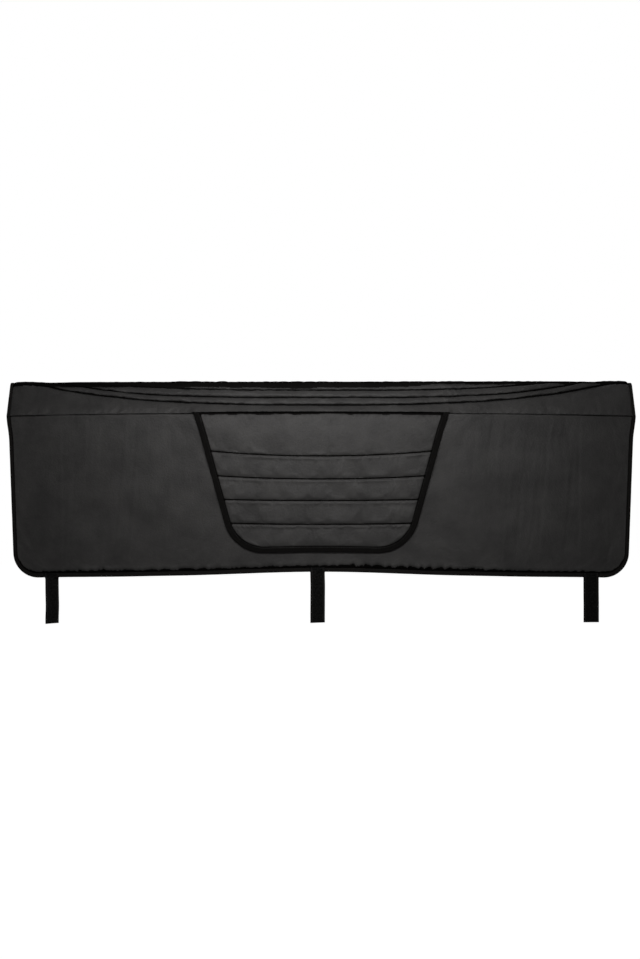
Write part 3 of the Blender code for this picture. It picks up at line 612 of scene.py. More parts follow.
def cut_window(piece):
    """Cuts the window through a panel's cloth."""
    window = within(flap_shape, FLAP_LAP)
    half_width, slant, _, radius = window
    corner_x, corner_down = corner_of(window)
    angles = np.linspace(slant, math.pi / 2, 14)
    right = [(half_width + 0.020 * math.tan(slant), -0.020)]
    right += [(corner_x + radius * math.cos(a), corner_down + radius * math.sin(a)) for a in angles]
    loop = [(-x, d) for x, d in right] + [(x, d) for x, d in right[::-1]]
    bm = bmesh.new()
    rings = []
    for height in (-0.012, PAD + 0.025):
        ring = []
        for x, d in loop:
            slide = mitre @ down_panel * (height - PAD) * float(np.clip(1 - d / MITRE_RUN, 0, 1))
            shifted = x - slide * math.copysign(math.tan(slant), x)
            ring.append(bm.verts.new(on_panel(FRONT, shifted, d, height)))
        rings.append(ring)
    for k in range(len(loop)):
        n = (k + 1) % len(loop)
        bm.faces.new((rings[0][k], rings[0][n], rings[1][n], rings[1][k]))
    bm.faces.new(rings[0][::-1])
    bm.faces.new(rings[1])
    bmesh.ops.recalc_face_normals(bm, faces=bm.faces[:])
    mesh = bpy.data.meshes.new("window_cutter")
    bm.to_mesh(mesh)
    bm.free()
    cutter = bpy.data.objects.new("window_cutter", mesh)
    bpy.context.scene.collection.objects.link(cutter)
    cut = piece.modifiers.new("window", "BOOLEAN")
    cut.object, cut.operation, cut.solver = cutter, "DIFFERENCE", "EXACT"
    bpy.context.view_layer.objects.active = piece
    bpy.ops.object.modifier_apply(modifier="window")
    bpy.data.objects.remove(cutter)


def panel_pad(name, side, columns, straight_rows, arc_rows, seed):
    """One panel: outer cloth and foam in one body, gathered along its hem, sides and seam."""
    drop = FRONT_DROP if side == FRONT else FRONT_DROP - BED_SHORTER
    shape = (HALF_LENGTH, SIDE_TAPER, drop, CORNER_RADIUS)
    x, down = panel_grid(within(shape, TUCK), columns, straight_rows, arc_rows)
    inset = edge_distance(shape, x, down)
    past = inset - 0.0060 - 0.0032 * ease((down - drop + 0.07) / 0.05)
    low_edge = drop - down
    small = np.abs(waves(x / 0.0085 - low_edge * 35, x * 0, seed + 1))
    lively = 0.45 + 0.55 * ease(0.5 + waves(x / 0.11, x * 0, seed + 2))
    near_low = np.exp(-(((low_edge - BOUND - 0.0040) / 0.0070) ** 2))
    near_low = near_low * ease((HALF_LENGTH - 0.03 - np.abs(x)) / 0.03)
    arch = np.abs(waves(x / 0.0100, 0, seed)) ** 0.6
    scallops = (0.0098 * arch * lively + 0.0008 * small) * (low_edge < 0.06)
    gap_high = 0.0026 + scallops * ease((HALF_LENGTH - 0.035 - np.abs(x)) / 0.03)
    gathered = (0.0042 * (1 - arch) + 0.0020 * small - 0.0014) * lively * near_low
    full = 1 - (1 - np.clip((past - 0.6 * gap_high) / 0.009, 0, 1)) ** 2.4
    side_edge = np.exp(-(((HALF_LENGTH - np.abs(x) - BOUND - 0.006) / 0.008) ** 2))
    gathered = gathered + 0.0011 * side_edge * waves(down / 0.017, x / 0.02, seed + 3)
    seam_line = np.exp(-((down / 0.006) ** 2))
    seam_gathers = 0.0008 * seam_line * np.abs(waves(x / 0.020, x * 0, seed + 4))
    gathered = gathered - 0.0013 * np.exp(-((down / 0.0028) ** 2)) - seam_gathers
    soft = 0.0016 * waves(x / 0.16 + down * 2, down / 0.12, seed + 5)
    soft = soft + 0.0005 * waves(x / 0.055 + down * 5, down / 0.05, seed + 6)
    drape = 0.00012 * waves(x / 0.030 + down * 3, down / 0.25, seed + 7)
    wings = -0.0045 * ease((np.abs(x) - 0.64) / 0.12)
    height = level + (PAD - level + 0.0004 + soft + drape + wings) * full + gathered
    if side == FRONT:
        corner = np.exp(-(((x + 0.735) / 0.022) ** 2)) * ease((0.040 - down) / 0.02) * ease(down / 0.008)
        height = height + 0.0016 * corner * waves(down / 0.006, x / 0.05, seed + 8)
        pulled = np.exp(-(((x - 0.735) / 0.022) ** 2) - ((down - 0.165) / 0.022) ** 2)
        height = height + 0.0020 * pulled * waves(down / 0.009 + x * 40, x / 0.03, seed + 9)
        beneath = ease(edge_distance(flap_shape, x, down) / 0.006)
        height = np.where(beneath > 0, np.minimum(height, PAD - 0.0002 + (1 - beneath) * 0.001), height)
    pressed = np.zeros_like(x)
    if side == BED:
        for place in BIKE_PLACES:
            pressed = np.maximum(pressed, 1 - ease((np.abs(x - place) - BIKE_WIDTH / 2 - 0.003) / 0.008))
        pressed *= ease((0.262 - down) / 0.01)
        height = height + (np.minimum(height, PAD - 0.0003) - height) * pressed
    height = np.maximum(height, level)
    marks = np.stack((x, down), -1)
    # Painted shade: a dark line along the seam, and a scalloped dark zone above the hem tape, under the
    # gathers.
    dark = np.exp(-((down / 0.0014) ** 2)) + np.exp(-((np.maximum(past, 0) / gap_high) ** 3))
    piece, i, j = grid_piece(name, on_panel(side, x, np.maximum(down, SEAM_GAP / 2), height), marks, dark)
    hold = np.where((inset < BOUND + 0.0005) | (down < 0.001) | (pressed > 0.5), 1.0, 0.12)
    if side == FRONT:
        hold = np.where(edge_distance(flap_shape, x, down) > 0.004, 1.0, hold)
    settle(piece, hold[i, j], 0.002, 0.3, 0.0015, 8)
    low = (EDGE_LEVEL - BUNDLE / 2) * (1 - ease((inset - BOUND) / ROLL)) + CLOTH + GAP + 0.0002
    low = np.minimum(low, height - 0.0005)
    close_pad(piece, i, j, on_panel(side, x, np.maximum(down, SEAM_GAP / 2), low), 2)
    if side == FRONT:
        cut_window(piece)
    finer(piece)
    return piece


PLACES = {"left": -0.664, "middle": -0.008, "right": 0.666}
BIKE_PLACES, BIKE_WIDTH = (-0.600, -0.300, 0.0, 0.300, 0.600), 0.0250
front_pad = panel_pad("front_pad", FRONT, 390, 38, 18, 20)
dress(front_pad, coated_nylon, "outer_fabric", "front_shell", "front_foam")
bed_pad = panel_pad("bed_pad", BED, 330, 30, 14, 40)
dress(bed_pad, coated_nylon, "outer_fabric", "bed_shell", "bed_foam")

# The panels' raw edges are bound down both sides and round the lower corners with the same tape,
# in one length each.


def outline(shape, sides, arcs, lows):
    """Stations (x, down, inward x, inward down) round an edge, from its top left to its top right."""
    half_width, slant, drop, radius = shape
    corner_x, corner_down = corner_of(shape)
    share = np.linspace(0, 1, sides + 1)
    down = share * (corner_down + radius * math.sin(slant))
    inward = 1 / math.cos(slant) + (math.cos(slant) - 1 / math.cos(slant)) * share
    side = np.stack((half_width - down * math.tan(slant), down, -inward, -math.sin(slant) * share), -1)
    a = np.linspace(slant, math.pi / 2, arcs + 1)[1:]
    cos, sin = np.cos(a), np.sin(a)
    arc = np.stack((corner_x + radius * cos, corner_down + radius * sin, -cos, -sin), -1)
    right = np.concatenate((side, arc))
    x = np.linspace(-corner_x, corner_x, lows + 1)[1:-1]
    low = np.stack((x, 0 * x + drop, 0 * x, 0 * x - 1), -1)
    return np.concatenate((right * (-1, 1, -1, 1), low, right[::-1]))


def panel_shape(side):
    return (HALF_LENGTH, SIDE_TAPER, FRONT_DROP if side == FRONT else FRONT_DROP - BED_SHORTER, CORNER_RADIUS)


tape_in, tape_up = folded(BOUND - GAP)
for side, name in ((FRONT, "front"), (BED, "bed")):
    edge = outline(panel_shape(side), 50, 20, 190)
    x, down, in_x, in_down = (edge[:, k, None] for k in range(4))
    run = np.arange(len(edge))[:, None] * 0.0075
    narrow = np.where(tape_in > 0, 0.62 + 0.14 * in_down**2, 1)
    inset = tape_in * narrow + 0.0005 * waves(run / 0.022, 0, 84 + side) * (tape_in > 0.004)
    lift = tape_up + 0.00035 * waves(run / 0.013, 0, 86 + side)
    deep = np.maximum(down + in_down * inset, -0.0006)
    edge_tape = wrapped(f"{name}_edge_tape", on_panel(side, x + in_x * inset, deep, EDGE_LEVEL + lift))
    finer(edge_tape)
    dress(edge_tape, tape_finish, "binding_tape", f"{name}_binding")

# The panels' lining is the same thin cloth as the band's, flat against the tailgate. The front one is
# cut out at the window.


for side, name in ((FRONT, "front"), (BED, "bed")):
    shape = panel_shape(side)
    x, down = panel_grid(within(shape, 0.004), 150, 40, 12, (0, 0.008, 0.016))
    wrinkle = 0.00012 * waves(x / 0.03, down / 0.02, 92 + side)
    laid_at = lining_level(edge_distance(shape, x, down)) + wrinkle
    points = on_panel(side, x, np.maximum(down, 0.0006), laid_at)
    panel_lining = lay_lining(f"{name}_panel_lining", points, np.stack((x, down), -1), side == FRONT)
    dress(panel_lining, plain_lining, "lining", f"{name}_lining")


def on_slant(x, down, height):
    """As on_panel, with the flap's slanted sides kept straight where the layers turn at the seam."""
    x, down, height = np.broadcast_arrays(x, down, height)
    slide = mitre @ down_panel * (height - PAD) * np.clip(1 - down / MITRE_RUN, 0, 1)
    return on_panel(FRONT, x - slide * np.sign(x) * math.tan(FLAP_SLANT), down, height)


# A facing strip of the lining cloth is sewn round the window's cut edge, through the panel's whole
# thickness.

edge = outline(within(flap_shape, FLAP_LAP), 40, 20, 50)
x, down, in_x, in_down = (edge[:, k, None] for k in range(4))
inset = np.array([0, 0.4, 0.8, 0.8, 0.8, 0.8, 0.4, 0, 0, 0])[None, :] * 0.001 + GAP
rise = np.array([0, 0, 0, 0.25, 0.75, 1, 1, 1, 0.75, 0.25])[None, :] * PAD
down = np.maximum(down + in_down * inset, SEAM_GAP / 2)
facing = wrapped("window_facing_strip", on_slant(x + in_x * inset, down, rise))
finer(facing)
dress(facing, plain_lining, "lining", "window_facing")

# The access flap is a thinner quilted pad over the window. Four rows of stitching cross it, bowed a
# little, and the cloth puckers below each row. Its top is sewn into the seam under the band.

FLAP_ROWS = ((0.1066, 0.0150), (0.1632, 0.0112), (0.2164, 0.0066), (0.2754, 0.0072))
flap_in = within(flap_shape, FLAP_BOUND - 0.0050)
flap_u = np.linspace(-1, 1, 177)[:, None]
flap_rows = []
marks = [(0.0003, 0.0), *FLAP_ROWS, (flap_in[2], 0.0)]
for k, count in enumerate((22, 14, 14, 14, 18)):
    (start, bow), (end, next_bow) = marks[k], marks[k + 1]
    for n in range(count + (k == 4)):
        share = (1 - math.cos(math.pi * n / count)) / 2
        fold = math.exp(-(end - start) * share / CREASE) * (k > 0)
        fold += math.exp(-(end - start) * (1 - share) / CREASE) * (k < 4)
        puffed = 1 - (1 - share) ** 3 - share**4
        bowed = bow + (next_bow - bow) * share
        flap_rows.append((start + (end - start) * share, bowed, puffed, fold, float(n == 0)))
flap_steps, flap_bows, flap_puffs, flap_folds, flap_held = np.array(flap_rows).T[:, None, :]
down = flap_steps - flap_bows * flap_u**2
x = flap_u * half_at(flap_in, down)
inset = edge_distance(flap_shape, x, down)
past = inset - FLAP_BOUND + 0.0030
full = 1 - (1 - np.clip(past / 0.010, 0, 1)) ** 2
below_row, above_row, deep = np.zeros_like(down), np.zeros_like(down), np.zeros_like(down)
for n, (depth, bow) in enumerate(FLAP_ROWS):
    under = down - depth + bow * flap_u**2
    scallop = np.abs(waves(x / 0.012, 0, 60 + n)) + 0.5 * np.abs(waves(x / 0.006, 0, 65 + n))
    pucker = np.exp(-(((under - 0.0038 - 0.0030 * scallop) / 0.0019) ** 2))
    below_row += pucker * (0.5 + scallop) * (under > 0)
    above_row += np.exp(-((under + 0.0075) / 0.0045) ** 2) * waves(x / 0.016, 0, 70 + n)
    # Painted shade along each row of stitching.
    deep += np.exp(-((under / 0.0022) ** 2))
# Painted shadow under the band's lip along the flap's top, and painted shade just inside the binding.
deep = deep + np.exp(-((down / (0.0062 + 0.0018 * waves(x / 0.014, 0, 75))) ** 2))
deep = deep + 0.9 * np.exp(-(((inset - FLAP_BOUND + 0.0026) / 0.0020) ** 2))
by_tape = np.exp(-(((inset - FLAP_BOUND - 0.0020) / 0.0030) ** 2))
side_tuck = by_tape * (down > 0.006) * waves(down / 0.0075, x / 0.4, 61)
ruffle = np.exp(-(((down - 0.009) / 0.007) ** 2)) * np.abs(waves(x / 0.013, down * 0, 62))
soft = 0.0009 * waves(x / 0.055 + down * 6, down / 0.035, 63) + 0.0004 * waves(x / 0.02, down / 0.03, 64)
puff = 0.0034 * flap_puffs - 0.0060 * flap_folds + 0 * x
quilted = puff + soft * flap_puffs + 0.0024 * below_row + 0.0008 * above_row
height = flap_top + quilted * full + 0.0012 * side_tuck
height = height - 0.0016 * ruffle - 0.0045 * np.exp(-((down / 0.004) ** 2))
height = np.maximum(height, flap_back + CLOTH + GAP)
slide = mitre @ down_panel * (height - PAD) * np.clip(1 - down / MITRE_RUN, 0, 1)
flap_x = x - slide * math.tan(FLAP_SLANT) * np.sign(x) * np.abs(flap_u)
flap_pad, i, j = grid_piece("flap_pad", on_panel(FRONT, flap_x, down, height), np.stack((x, down), -1), deep)
hold = np.clip(flap_held + (inset < FLAP_BOUND + 0.0003) + 0 * x, 0, 1)
settle(flap_pad, hold[i, j], 0.007, 0.7, 0.0020)
hollow = (flap_top - BUNDLE - GAP - FLAP_FOAM - flap_back) * ease((inset - FLAP_LAP - 0.003) / 0.010)
flap_low = flap_back + hollow + CLOTH + GAP
flap_low = np.minimum(flap_low, height - 0.0005)
close_pad(flap_pad, i, j, on_panel(FRONT, flap_x, down, flap_low), 2)
finer(flap_pad)
dress(flap_pad, coated_nylon, "outer_fabric", "flap_shell", "flap_foam")

# The flap's lining is the same thin cloth. It is sewn in round the flap's edge and follows the
# underside of the foam.

laid_at = np.minimum(flap_back + hollow + CLOTH / 2, flap_low - CLOTH / 2 - 0.0002)
points = on_panel(FRONT, flap_x, np.maximum(down, 0.0006), laid_at)[::2, ::2]
flap_lining = lay_lining("flap_lining_cloth", points, np.stack((x, down), -1)[::2, ::2])
dress(flap_lining, plain_lining, "lining", "flap_lining")

# The flap's sides and lower edge are bound in one length of darker ribbed tape, folded over the raw
# edges and sewn through.

flap_tape_finish = ribbed_finish(
    "flap_tape_finish", (0.0011, 0.0010, 0.0009), (0.0030, 0.0027, 0.0025), 0.0013, 0.03)
flap_tape_in, flap_tape_up = folded(FLAP_BOUND - 0.0034)
edge = outline(flap_shape, 60, 26, 60)
x, down, in_x, in_down = (edge[:, k, None] for k in range(4))
run = np.arange(len(edge))[:, None] * 0.005
narrow = np.where(flap_tape_in > 0, 1 - 0.14 * in_down**2, 1)
inset = flap_tape_in * narrow + 0.0004 * waves(run / 0.02, 0, 96) * (flap_tape_in > 0.004)
lift = flap_tape_up + 0.0003 * waves(run / 0.014, 0, 97) + (flap_back + flap_top) / 2
down = np.maximum(down + in_down * inset, SEAM_GAP / 2)
flap_tape = wrapped("flap_tape", on_slant(x + in_x * inset, down, lift))
finer(flap_tape)
dress(flap_tape, flap_tape_finish, "binding_tape", "flap_binding")

# Hook tape under the flap's margin grips loop tape on the panel, down both sides and along the
# bottom. Both are woven nylon tape with a dense pile.


def pile_finish(name, colour, pitch, depth):
    """Hook or loop tape: a dense pile of tufts."""
    made, nodes, shader = bare_finish(name, 0.1, 0.85)
    place = add(nodes, "ShaderNodeTexCoord").outputs["Object"]
    tufts = add(nodes, "ShaderNodeTexVoronoi", place, Scale=1 / pitch).outputs["Distance"]
    pile = raised(nodes, tufts, 1.0, depth, invert=True)
    plug(shader, Base_Color=(*colour, 1), Sheen_Weight=0.05, Normal=pile)
    return made


hook_finish = pile_finish("hook_finish", (0.0060, 0.0060, 0.0062), 0.0012, 0.0006)
loop_finish = pile_finish("loop_finish", (0.0080, 0.0078, 0.0078), 0.0018, 0.0009)


def fastener_strip(name, ends, low, finish):
    """A strip of tape along a straight run of the flap's margin."""
    (x0, d0, ix0, id0), (x1, d1, ix1, id1) = ends
    t = np.linspace(0, 1, 60)[:, None]
    across = 0.012 * np.array([0.02, 0.3, 0.6, 0.98, 1, 0.98, 0.6, 0.3, 0.02, 0])[None, :]
    section_in = FLAP_BOUND + 2 * GAP + across
    section_up = low + STRIP * np.array([0, 0, 0, 0, 0.5, 1, 1, 1, 1, 0.5])[None, :]
    inward_x, inward_down = ix0 + (ix1 - ix0) * t, id0 + (id1 - id0) * t
    x, down = x0 + (x1 - x0) * t + inward_x * section_in, d0 + (d1 - d0) * t + inward_down * section_in
    piece = wrapped(name, on_slant(x, down, section_up))
    bpy.ops.object.shade_smooth_by_angle(angle=math.radians(40))
    dress(piece, finish, "hook_and_loop", f"flap_{name}")


coarse = outline(flap_shape, 5, 9, 6)
left, right, bottom = (coarse[1], coarse[4]), (coarse[-2], coarse[-5]), (coarse[15], coarse[-16])
for place, ends in (("left", left), ("right", right), ("bottom", bottom)):
    fastener_strip(f"loop_{place}", ends, PAD + GAP, loop_finish)
    fastener_strip(f"hook_{place}", ends, PAD + 2 * GAP + STRIP, hook_finish)

# Three webbing straps hang from the front panel, sewn over its lower tape. They are 38 mm woven
# polyester with plain cut ends, and each has turned a little as it hangs.

STRAP_WIDTH, STRAP_THICK, STRAP_LAP = 0.0380, 0.0015, 0.0100
tape_face = EDGE_LEVEL + BUNDLE / 2 + GAP + TAPE + GAP


def webbing_finish(name, dark, light, width, gloss):
    """Webbing: a slanted twill weave, with a lighter line of warp just inside each edge."""
    made, nodes, shader = bare_finish(name, gloss, 0.6)
    cloth = add(nodes, "ShaderNodeUVMap", uv_map="cloth").outputs[0]
    twill = threads(nodes, cloth, "DIAGONAL", 120.0, Distortion=1.2, Detail_Scale=3.0)
    weft = threads(nodes, cloth, "Y", 300.0)
    run_across = add(nodes, "ShaderNodeSeparateXYZ", cloth).outputs[0]
    across = add(nodes, "ShaderNodeMath", run_across, width + STRAP_THICK, operation="DIVIDE").outputs[0]
    within_width = add(nodes, "ShaderNodeMath", across, operation="FRACT").outputs[0]
    lines = add(nodes, "ShaderNodeValToRGB", within_width)
    ramp = lines.color_ramp
    ramp.interpolation = "EASE"
    ramp.elements[0].position, ramp.elements[1].position = 0.0, 1.0
    ramp.elements[0].color = ramp.elements[1].color = (0, 0, 0, 1)
    for spot, value in ((0.06, 0), (0.11, 1), (0.16, 0), (0.84, 0), (0.89, 1), (0.94, 0)):
        ramp.elements.new(spot).color = (value, value, value, 1)
    mottled = noise(nodes, cloth, Scale=260.0, Detail=3.0, Roughness=0.6)
    sum_of = add(nodes, "ShaderNodeMath", lines.outputs[0], 0.55, mottled, operation="MULTIPLY_ADD")
    spread = add(nodes, "ShaderNodeMapRange", sum_of.outputs[0], From_Min=0.42, From_Max=0.74).outputs[0]
    weave = raised(nodes, weft, 0.6, 0.0003, Normal=raised(nodes, twill, 0.8, 0.0005))
    plug(shader, Base_Color=two_tone(nodes, spread, dark, light), Normal=weave)
    return made


def ribbon(width, thick):
    """Section of a webbing strap: distances across, and heights over its back, with firm edges."""
    share = np.array([-1, -0.97, -0.9, -0.8, -0.5, 0, 0.5, 0.8, 0.9, 0.97, 1.0])
    puff = np.array([0.72, 0.92, 1.0, 0.97, 0.94, 0.94, 0.94, 0.97, 1.0, 0.92, 0.72])
    across = np.concatenate((share, share[::-1])) * width / 2
    up = np.concatenate((0.5 + puff / 2, (0.5 - puff / 2)[::-1])) * thick
    return across[None, :], up[None, :]


strap_finish = webbing_finish(
    "strap_finish", (0.0003, 0.0003, 0.0003), (0.0090, 0.0088, 0.0086), STRAP_WIDTH, 0.02)
across, up = ribbon(STRAP_WIDTH + 0.0006, STRAP_THICK)
hangs = {"left": (0.114, 43, -0.0046), "middle": (0.126, 21, -0.0012), "right": (0.111, 3, 0.0040)}
for name, (length, turn, drift) in hangs.items():
    x = PLACES[name]
    edge_spot = on_panel(FRONT, x + drift, FRONT_DROP + GAP + TAPE, tape_face)
    top_spot = on_panel(FRONT, x + drift, FRONT_DROP - STRAP_LAP, tape_face)
    fall = np.concatenate((np.linspace(-0.012, -0.001, 8), np.linspace(0, length, 36)))[:, None, None]
    share = np.clip(-fall / 0.012, 0, 1)
    spot = edge_spot + (top_spot - edge_spot) * share
    spot = spot - np.array((0, 0, 1)) * np.maximum(fall, 0)
    yaw = math.radians(turn) * ease((fall[..., 0] + 0.006) / 0.007)
    curl = 0.0009 * waves(fall[..., 0] / 0.035, 0, 100 + turn) * ease(fall[..., 0] / 0.03)
    bow = 0.0012 * (across / STRAP_WIDTH * 2) ** 2 * ease(fall[..., 0] / 0.04)
    out = up + curl + bow
    aside, forward = np.cos(yaw) * across + np.sin(yaw) * out, np.sin(yaw) * across - np.cos(yaw) * out
    rings = spot + np.stack((aside, forward, 0 * aside), -1)
    front_strap = wrapped(f"front_strap_{name}_webbing", rings)
    finer(front_strap)
    dress(front_strap, strap_finish, "webbing", f"front_strap_{name}")

# Three tabs of the same webbing are sewn over the bed panel's lower tape. Each is looped round the
# bar of a moulded plastic ring, which a strap comes back through.

TAB_HANG, RING_WIRE = 0.0130, 0.0036
loop_out = RING_WIRE / 2 + GAP + STRAP_THICK / 2
moulded, nodes, shader = bare_finish("moulded_plastic", 0.35)
grain = noise(nodes, Scale=900.0, Detail=3.0)
scuffed = add(nodes, "ShaderNodeMapRange", grain, To_Min=0.34, To_Max=0.52).outputs[0]
pitted = raised(nodes, grain, 0.5, 0.0001)
plug(shader, Base_Color=(0.010, 0.010, 0.0105, 1), Roughness=scuffed, Normal=pitted)

for name, x in PLACES.items():
    edge_spot = on_panel(BED, x, FRONT_DROP - BED_SHORTER + GAP + TAPE, tape_face)
    bar = edge_spot + np.array((0, STRAP_THICK / 2 + loop_out, -TAB_HANG))
    rise = TAB_HANG + STRAP_LAP
    close = STRAP_THICK + GAP - loop_out
    path = [(-loop_out, z) for z in np.linspace(rise, 0.001, 9)]
    path += [(-loop_out * math.cos(a), -loop_out * math.sin(a)) for a in np.linspace(0, math.pi, 15)]
    blend = np.linspace(0, 1, 6)[1:]
    path += [(loop_out + (close - loop_out) * ease(b), TAB_HANG * 0.7 * b) for b in blend]
    path += [(close, z) for z in np.linspace(TAB_HANG * 0.85, rise, 5)]
    path = np.array(path)
    way = np.gradient(path, axis=0)
    way /= np.linalg.norm(way, axis=1, keepdims=True)
    normal = np.stack((-way[:, 1], way[:, 0]), -1)[:, None, :]
    flat_spot = path[:, None, :] + normal * (up - STRAP_THICK / 2)[..., None]
    lean = down_panel[0] / down_panel[1] * np.maximum(0, flat_spot[..., 1] - TAB_HANG)
    wide = np.broadcast_to(across, lean.shape)
    rings = bar + np.stack((wide, flat_spot[..., 0] + lean, flat_spot[..., 1]), -1)
    bed_tab = wrapped(f"bed_tab_{name}_webbing", rings)
    finer(bed_tab)
    dress(bed_tab, strap_finish, "webbing", f"bed_tab_{name}")
    ring = bpy.data.objects.new(f"ring_{name}", bpy.data.objects[f"bed_ring_{name}"].data.copy())
    bpy.context.scene.collection.objects.link(ring)
    only(ring)
    bpy.ops.object.mode_set(mode="EDIT")
    bpy.ops.mesh.select_all(action="SELECT")
    bpy.ops.mesh.remove_doubles(threshold=1e-5)
    bpy.ops.mesh.tris_convert_to_quads()
    bpy.ops.object.mode_set(mode="OBJECT")
    finer(ring)
    dress(ring, moulded, "ring_plastic", f"bed_ring_{name}")

# Five narrower straps hold the bikes' down tubes on the bed side. Each is sewn on at its top, lies
# down the panel, and ends in a patch of hook tape.

BIKE_TOP, BIKE_LENGTH, PATCH_LENGTH = 0.0140, 0.2400, 0.0600
narrow_finish = webbing_finish(
    "narrow_strap_finish", (0.0028, 0.0028, 0.0028), (0.0090, 0.0088, 0.0086), BIKE_WIDTH, 0.06)
across, up = ribbon(BIKE_WIDTH, STRAP_THICK)
patch_across, patch_up = ribbon(BIKE_WIDTH - 0.002, STRIP)
for k, x in enumerate(BIKE_PLACES):
    down = np.linspace(BIKE_TOP, BIKE_TOP + BIKE_LENGTH, 64)[:, None]
    bike_strap = wrapped(f"bike_strap_{k + 1}_webbing", on_panel(BED, x + across, down, PAD + GAP + up))
    finer(bike_strap)
    dress(bike_strap, narrow_finish, "webbing", f"bike_strap_{k + 1}")
    down = np.linspace(BIKE_TOP + BIKE_LENGTH - PATCH_LENGTH, BIKE_TOP + BIKE_LENGTH - 0.002, 16)[:, None]
    level_up = PAD + 2 * GAP + STRAP_THICK
    patch = wrapped(f"hook_patch_{k + 1}", on_panel(BED, x + patch_across, down, level_up + patch_up))
    bpy.ops.object.shade_smooth_by_angle(angle=math.radians(40))
    dress(patch, hook_finish, "hook_and_loop", f"bike_hook_{k + 1}")

# Every seam is sewn with heavy black thread: the quilting lines lie deep in their creases, and the
# tapes and straps show theirs as a row of short stitches along their inner edges.

thread, nodes, shader = bare_finish("thread", 0.08, 0.65)
shade = two_tone(nodes, noise(nodes, Scale=1500.0), (0.0015, 0.0015, 0.0015), (0.0060, 0.0058, 0.0056))
plug(shader, Base_Color=shade)
STITCH, BOX_STITCH, TAPE_STITCH = 0.0048, 0.0004, 0.00035


def sew(name, piece, lines, size):
    """Short raised stitches along lines of points, laid on the piece's surface."""
    verts, faces = [], []
    for line in lines:
        line = np.asarray(line, dtype=float)
        length = np.concatenate(((0,), np.cumsum(np.linalg.norm(np.diff(line, axis=0), axis=1))))
        count = int(length[-1] / STITCH)
        even = np.linspace(0, length[-1], count + 1)
        spots = np.stack([np.interp(even, length, line[:, k]) for k in range(3)], 1)
        landed = [piece.closest_point_on_mesh(spot)[1:3] for spot in spots]
        for (a, up_a), (b, up_b) in zip(landed[:-1], landed[1:]):
            along = b - a
            if along.length < 0.001:
                continue
            up = (up_a + up_b).normalized()
            aside = along.cross(up).normalized() * size
            lift = up * (size * 0.5 + 0.0001)
            base = len(verts)
            verts.append(a + along * 0.04)
            for share in (0.28, 0.74):
                middle = a + along * share + lift
                verts += (middle + aside, middle + up * size * 0.6, middle - aside, middle - up * size * 0.8)
            verts.append(a + along * 0.96)
            for k in range(4):
                n = (k + 1) % 4
                faces.append((base, base + 1 + k, base + 1 + n))
                faces.append((base + 1 + k, base + 5 + k, base + 5 + n, base + 1 + n))
                faces.append((base + 5 + k, base + 9, base + 5 + n))
    mesh = bpy.data.meshes.new(name)
    mesh.from_pydata(verts, [], faces)
    stitches = bpy.data.objects.new(name, mesh)
    bpy.context.scene.collection.objects.link(stitches)
    face_out(stitches)
    bpy.ops.object.shade_smooth()
    dress(stitches, thread, "binding_tape")


run_x = np.linspace(-1, 1, 401) * (HALF_LENGTH - 0.012)
lines, held = stitch_lines(run_x)
band_lines = []
for line, firm in zip(lines, held):
    keep = firm > 0.2
    for side in (FRONT, BED):
        band_lines.append(on_band(run_x[keep], side * line[keep], PAD - VALLEY))
sew("band_stitches", band_pad, band_lines, 0.0007)
flap_lines = []
for depth, bow in FLAP_ROWS:
    share = np.linspace(-0.985, 0.985, 200)
    down = depth - bow * share**2
    flap_lines.append(on_slant(share * half_at(flap_in, down), down, flap_top - 0.005))
sew("flap_stitches", flap_pad, flap_lines, 0.0008)


def along_tape(shape, inset, height, place):
    x, down, in_x, in_down = outline(shape, 50, 20, 190).T
    return place(x + in_x * inset, np.maximum(down + in_down * inset, 0.001), height)


def sew_box(piece, side, x, down, half_width, top, bottom, high):
    """A box of stitches, round its four sides and once across."""
    left, right = -half_width, half_width
    corners = [(left, top), (right, top), (right, bottom), (left, bottom), (left, top), (right, bottom)]
    box = [on_panel(side, np.array(x + dx), np.array(down + dd), high) for dx, dd in corners]
    sew(piece.name.replace("webbing", "stitches"), piece, [box], BOX_STITCH)


for side, name in ((FRONT, "front"), (BED, "bed")):
    shape = panel_shape(side)
    lines = [along_tape(shape, 0.0040, EDGE_LEVEL + high, lambda *spot: on_panel(side, *spot))
             for high in (0.003, -0.003)]
    sew(f"{name}_tape_stitches", bpy.data.objects[f"{name}_edge_tape"], lines, TAPE_STITCH)
middle = (flap_back + flap_top) / 2
lines = [along_tape(flap_shape, 0.0100, middle + high, on_slant) for high in (0.003, -0.003)]
sew("flap_tape_stitches", flap_tape, lines, TAPE_STITCH)
for name, x in PLACES.items():
    for side, kind in ((FRONT, "front_strap"), (BED, "bed_tab")):
        webbing = bpy.data.objects[f"{kind}_{name}_webbing"]
        sew_box(webbing, side, x, panel_shape(side)[2], 0.015, -0.0015, -0.0085, tape_face + 0.004)
for k, x in enumerate(BIKE_PLACES):
    webbing = bpy.data.objects[f"bike_strap_{k + 1}_webbing"]
    sew_box(webbing, BED, x, BIKE_TOP, 0.009, 0.003, 0.021, PAD + 0.004)

# Camera, lights and floor: a white studio, seen square on from the height of the pad's middle.

bpy.ops.object.camera_add(location=(-0.0028, -3.675, -0.230), rotation=(math.pi / 2, 0, 0))
camera = bpy.context.object
camera.data.sensor_fit = "HORIZONTAL"
SENSOR, VIEW_FAR, VIEW_WIDE = 36, 3.6, 1.5770
camera.data.lens = SENSOR * VIEW_FAR / VIEW_WIDE
bpy.context.scene.camera = camera


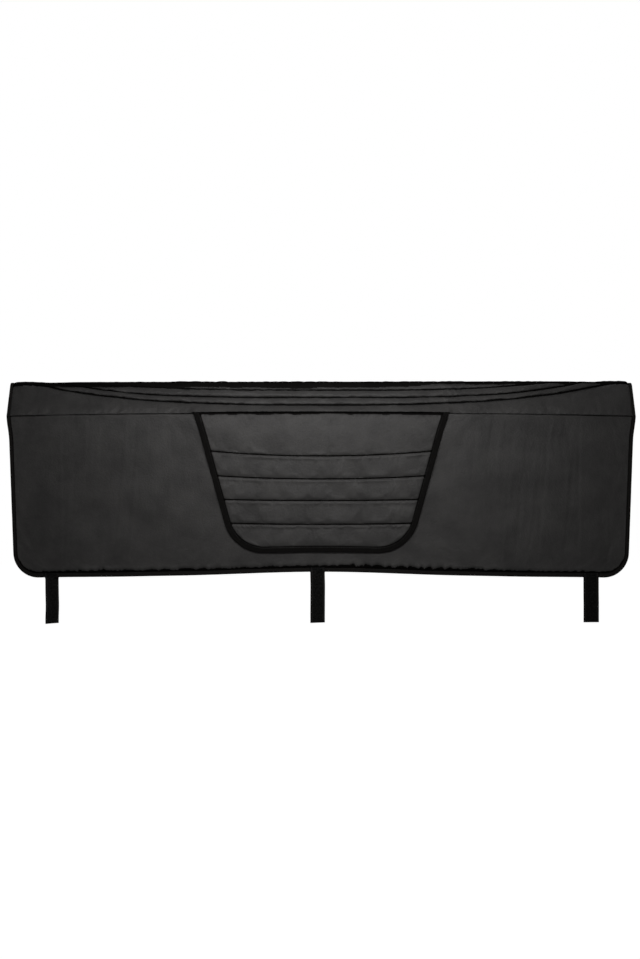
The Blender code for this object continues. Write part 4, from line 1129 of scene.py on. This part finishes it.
def lamp(name, place, aim, width, height, power):
    bpy.ops.object.light_add(type="AREA", location=place)
    light = bpy.context.object
    light.name = name
    light.visible_camera = False
    light.data.shape, light.data.energy = "RECTANGLE", power
    light.data.size, light.data.size_y = width, height
    light.rotation_euler = (Vector(aim) - Vector(place)).to_track_quat("-Z", "Y").to_euler()


lamp("key_light", (-0.04, -0.76, 0.09), (-0.01, 0, -0.10), 0.62, 0.14, 12.0)
lamp("fill_light", (0.2, -2.4, 0.6), (0, 0, -0.20), 0.8, 0.4, 1.2)
lamp("back_light", (0.3, 1.5, -0.05), (0, 0, -0.25), 1.4, 0.3, 22)


def white_for_view(nodes):
    """Camera, glossy and transmission rays see plain white; the rest sees what lights the pad."""
    rays = add(nodes, "ShaderNodeLightPath").outputs
    seen = add(nodes, "ShaderNodeMath", rays["Is Camera Ray"], rays["Is Glossy Ray"], operation="MAXIMUM")
    through = add(nodes, "ShaderNodeMath", seen.outputs[0], rays["Is Transmission Ray"], operation="MAXIMUM")
    return through.outputs[0]


world = bpy.data.worlds.new("studio")
bpy.context.scene.world = world
world.use_nodes = True
nodes = world.node_tree.nodes
facing = add(nodes, "ShaderNodeTexCoord").outputs["Generated"]
height_of = add(nodes, "ShaderNodeSeparateXYZ", facing).outputs["Z"]
dimmed = add(nodes, "ShaderNodeMapRange", height_of, From_Min=-0.1, From_Max=0.6, To_Min=0.13, To_Max=0.03)
ambient = nodes["Background"]
plug(ambient, (1, 1, 1, 1), dimmed.outputs[0])
white = add(nodes, "ShaderNodeBackground", (1, 1, 1, 1), 1.0)
both = add(nodes, "ShaderNodeMixShader", white_for_view(nodes), ambient.outputs[0], white.outputs[0])
plug(nodes["World Output"], both.outputs[0])

bpy.ops.mesh.primitive_plane_add(size=60, location=(0, 0, -2.2))
floor = bpy.context.object
floor.name = "floor"
pale, nodes, matte = bare_finish("pale_floor", 0.0, 0.9)
plug(matte, Base_Color=(0.9, 0.9, 0.9, 1))
glow = add(nodes, "ShaderNodeEmission", Strength=0.97)
nothing = add(nodes, "ShaderNodeEmission", Strength=0.0)
dark = add(nodes, "ShaderNodeMixShader", white_for_view(nodes), nothing.outputs[0], glow.outputs[0])
both = add(nodes, "ShaderNodeAddShader", matte.outputs[0], dark.outputs[0])
plug(nodes["Material Output"], both.outputs[0])
floor.data.materials.append(pale)

bpy.context.scene.view_settings.view_transform = "Standard"
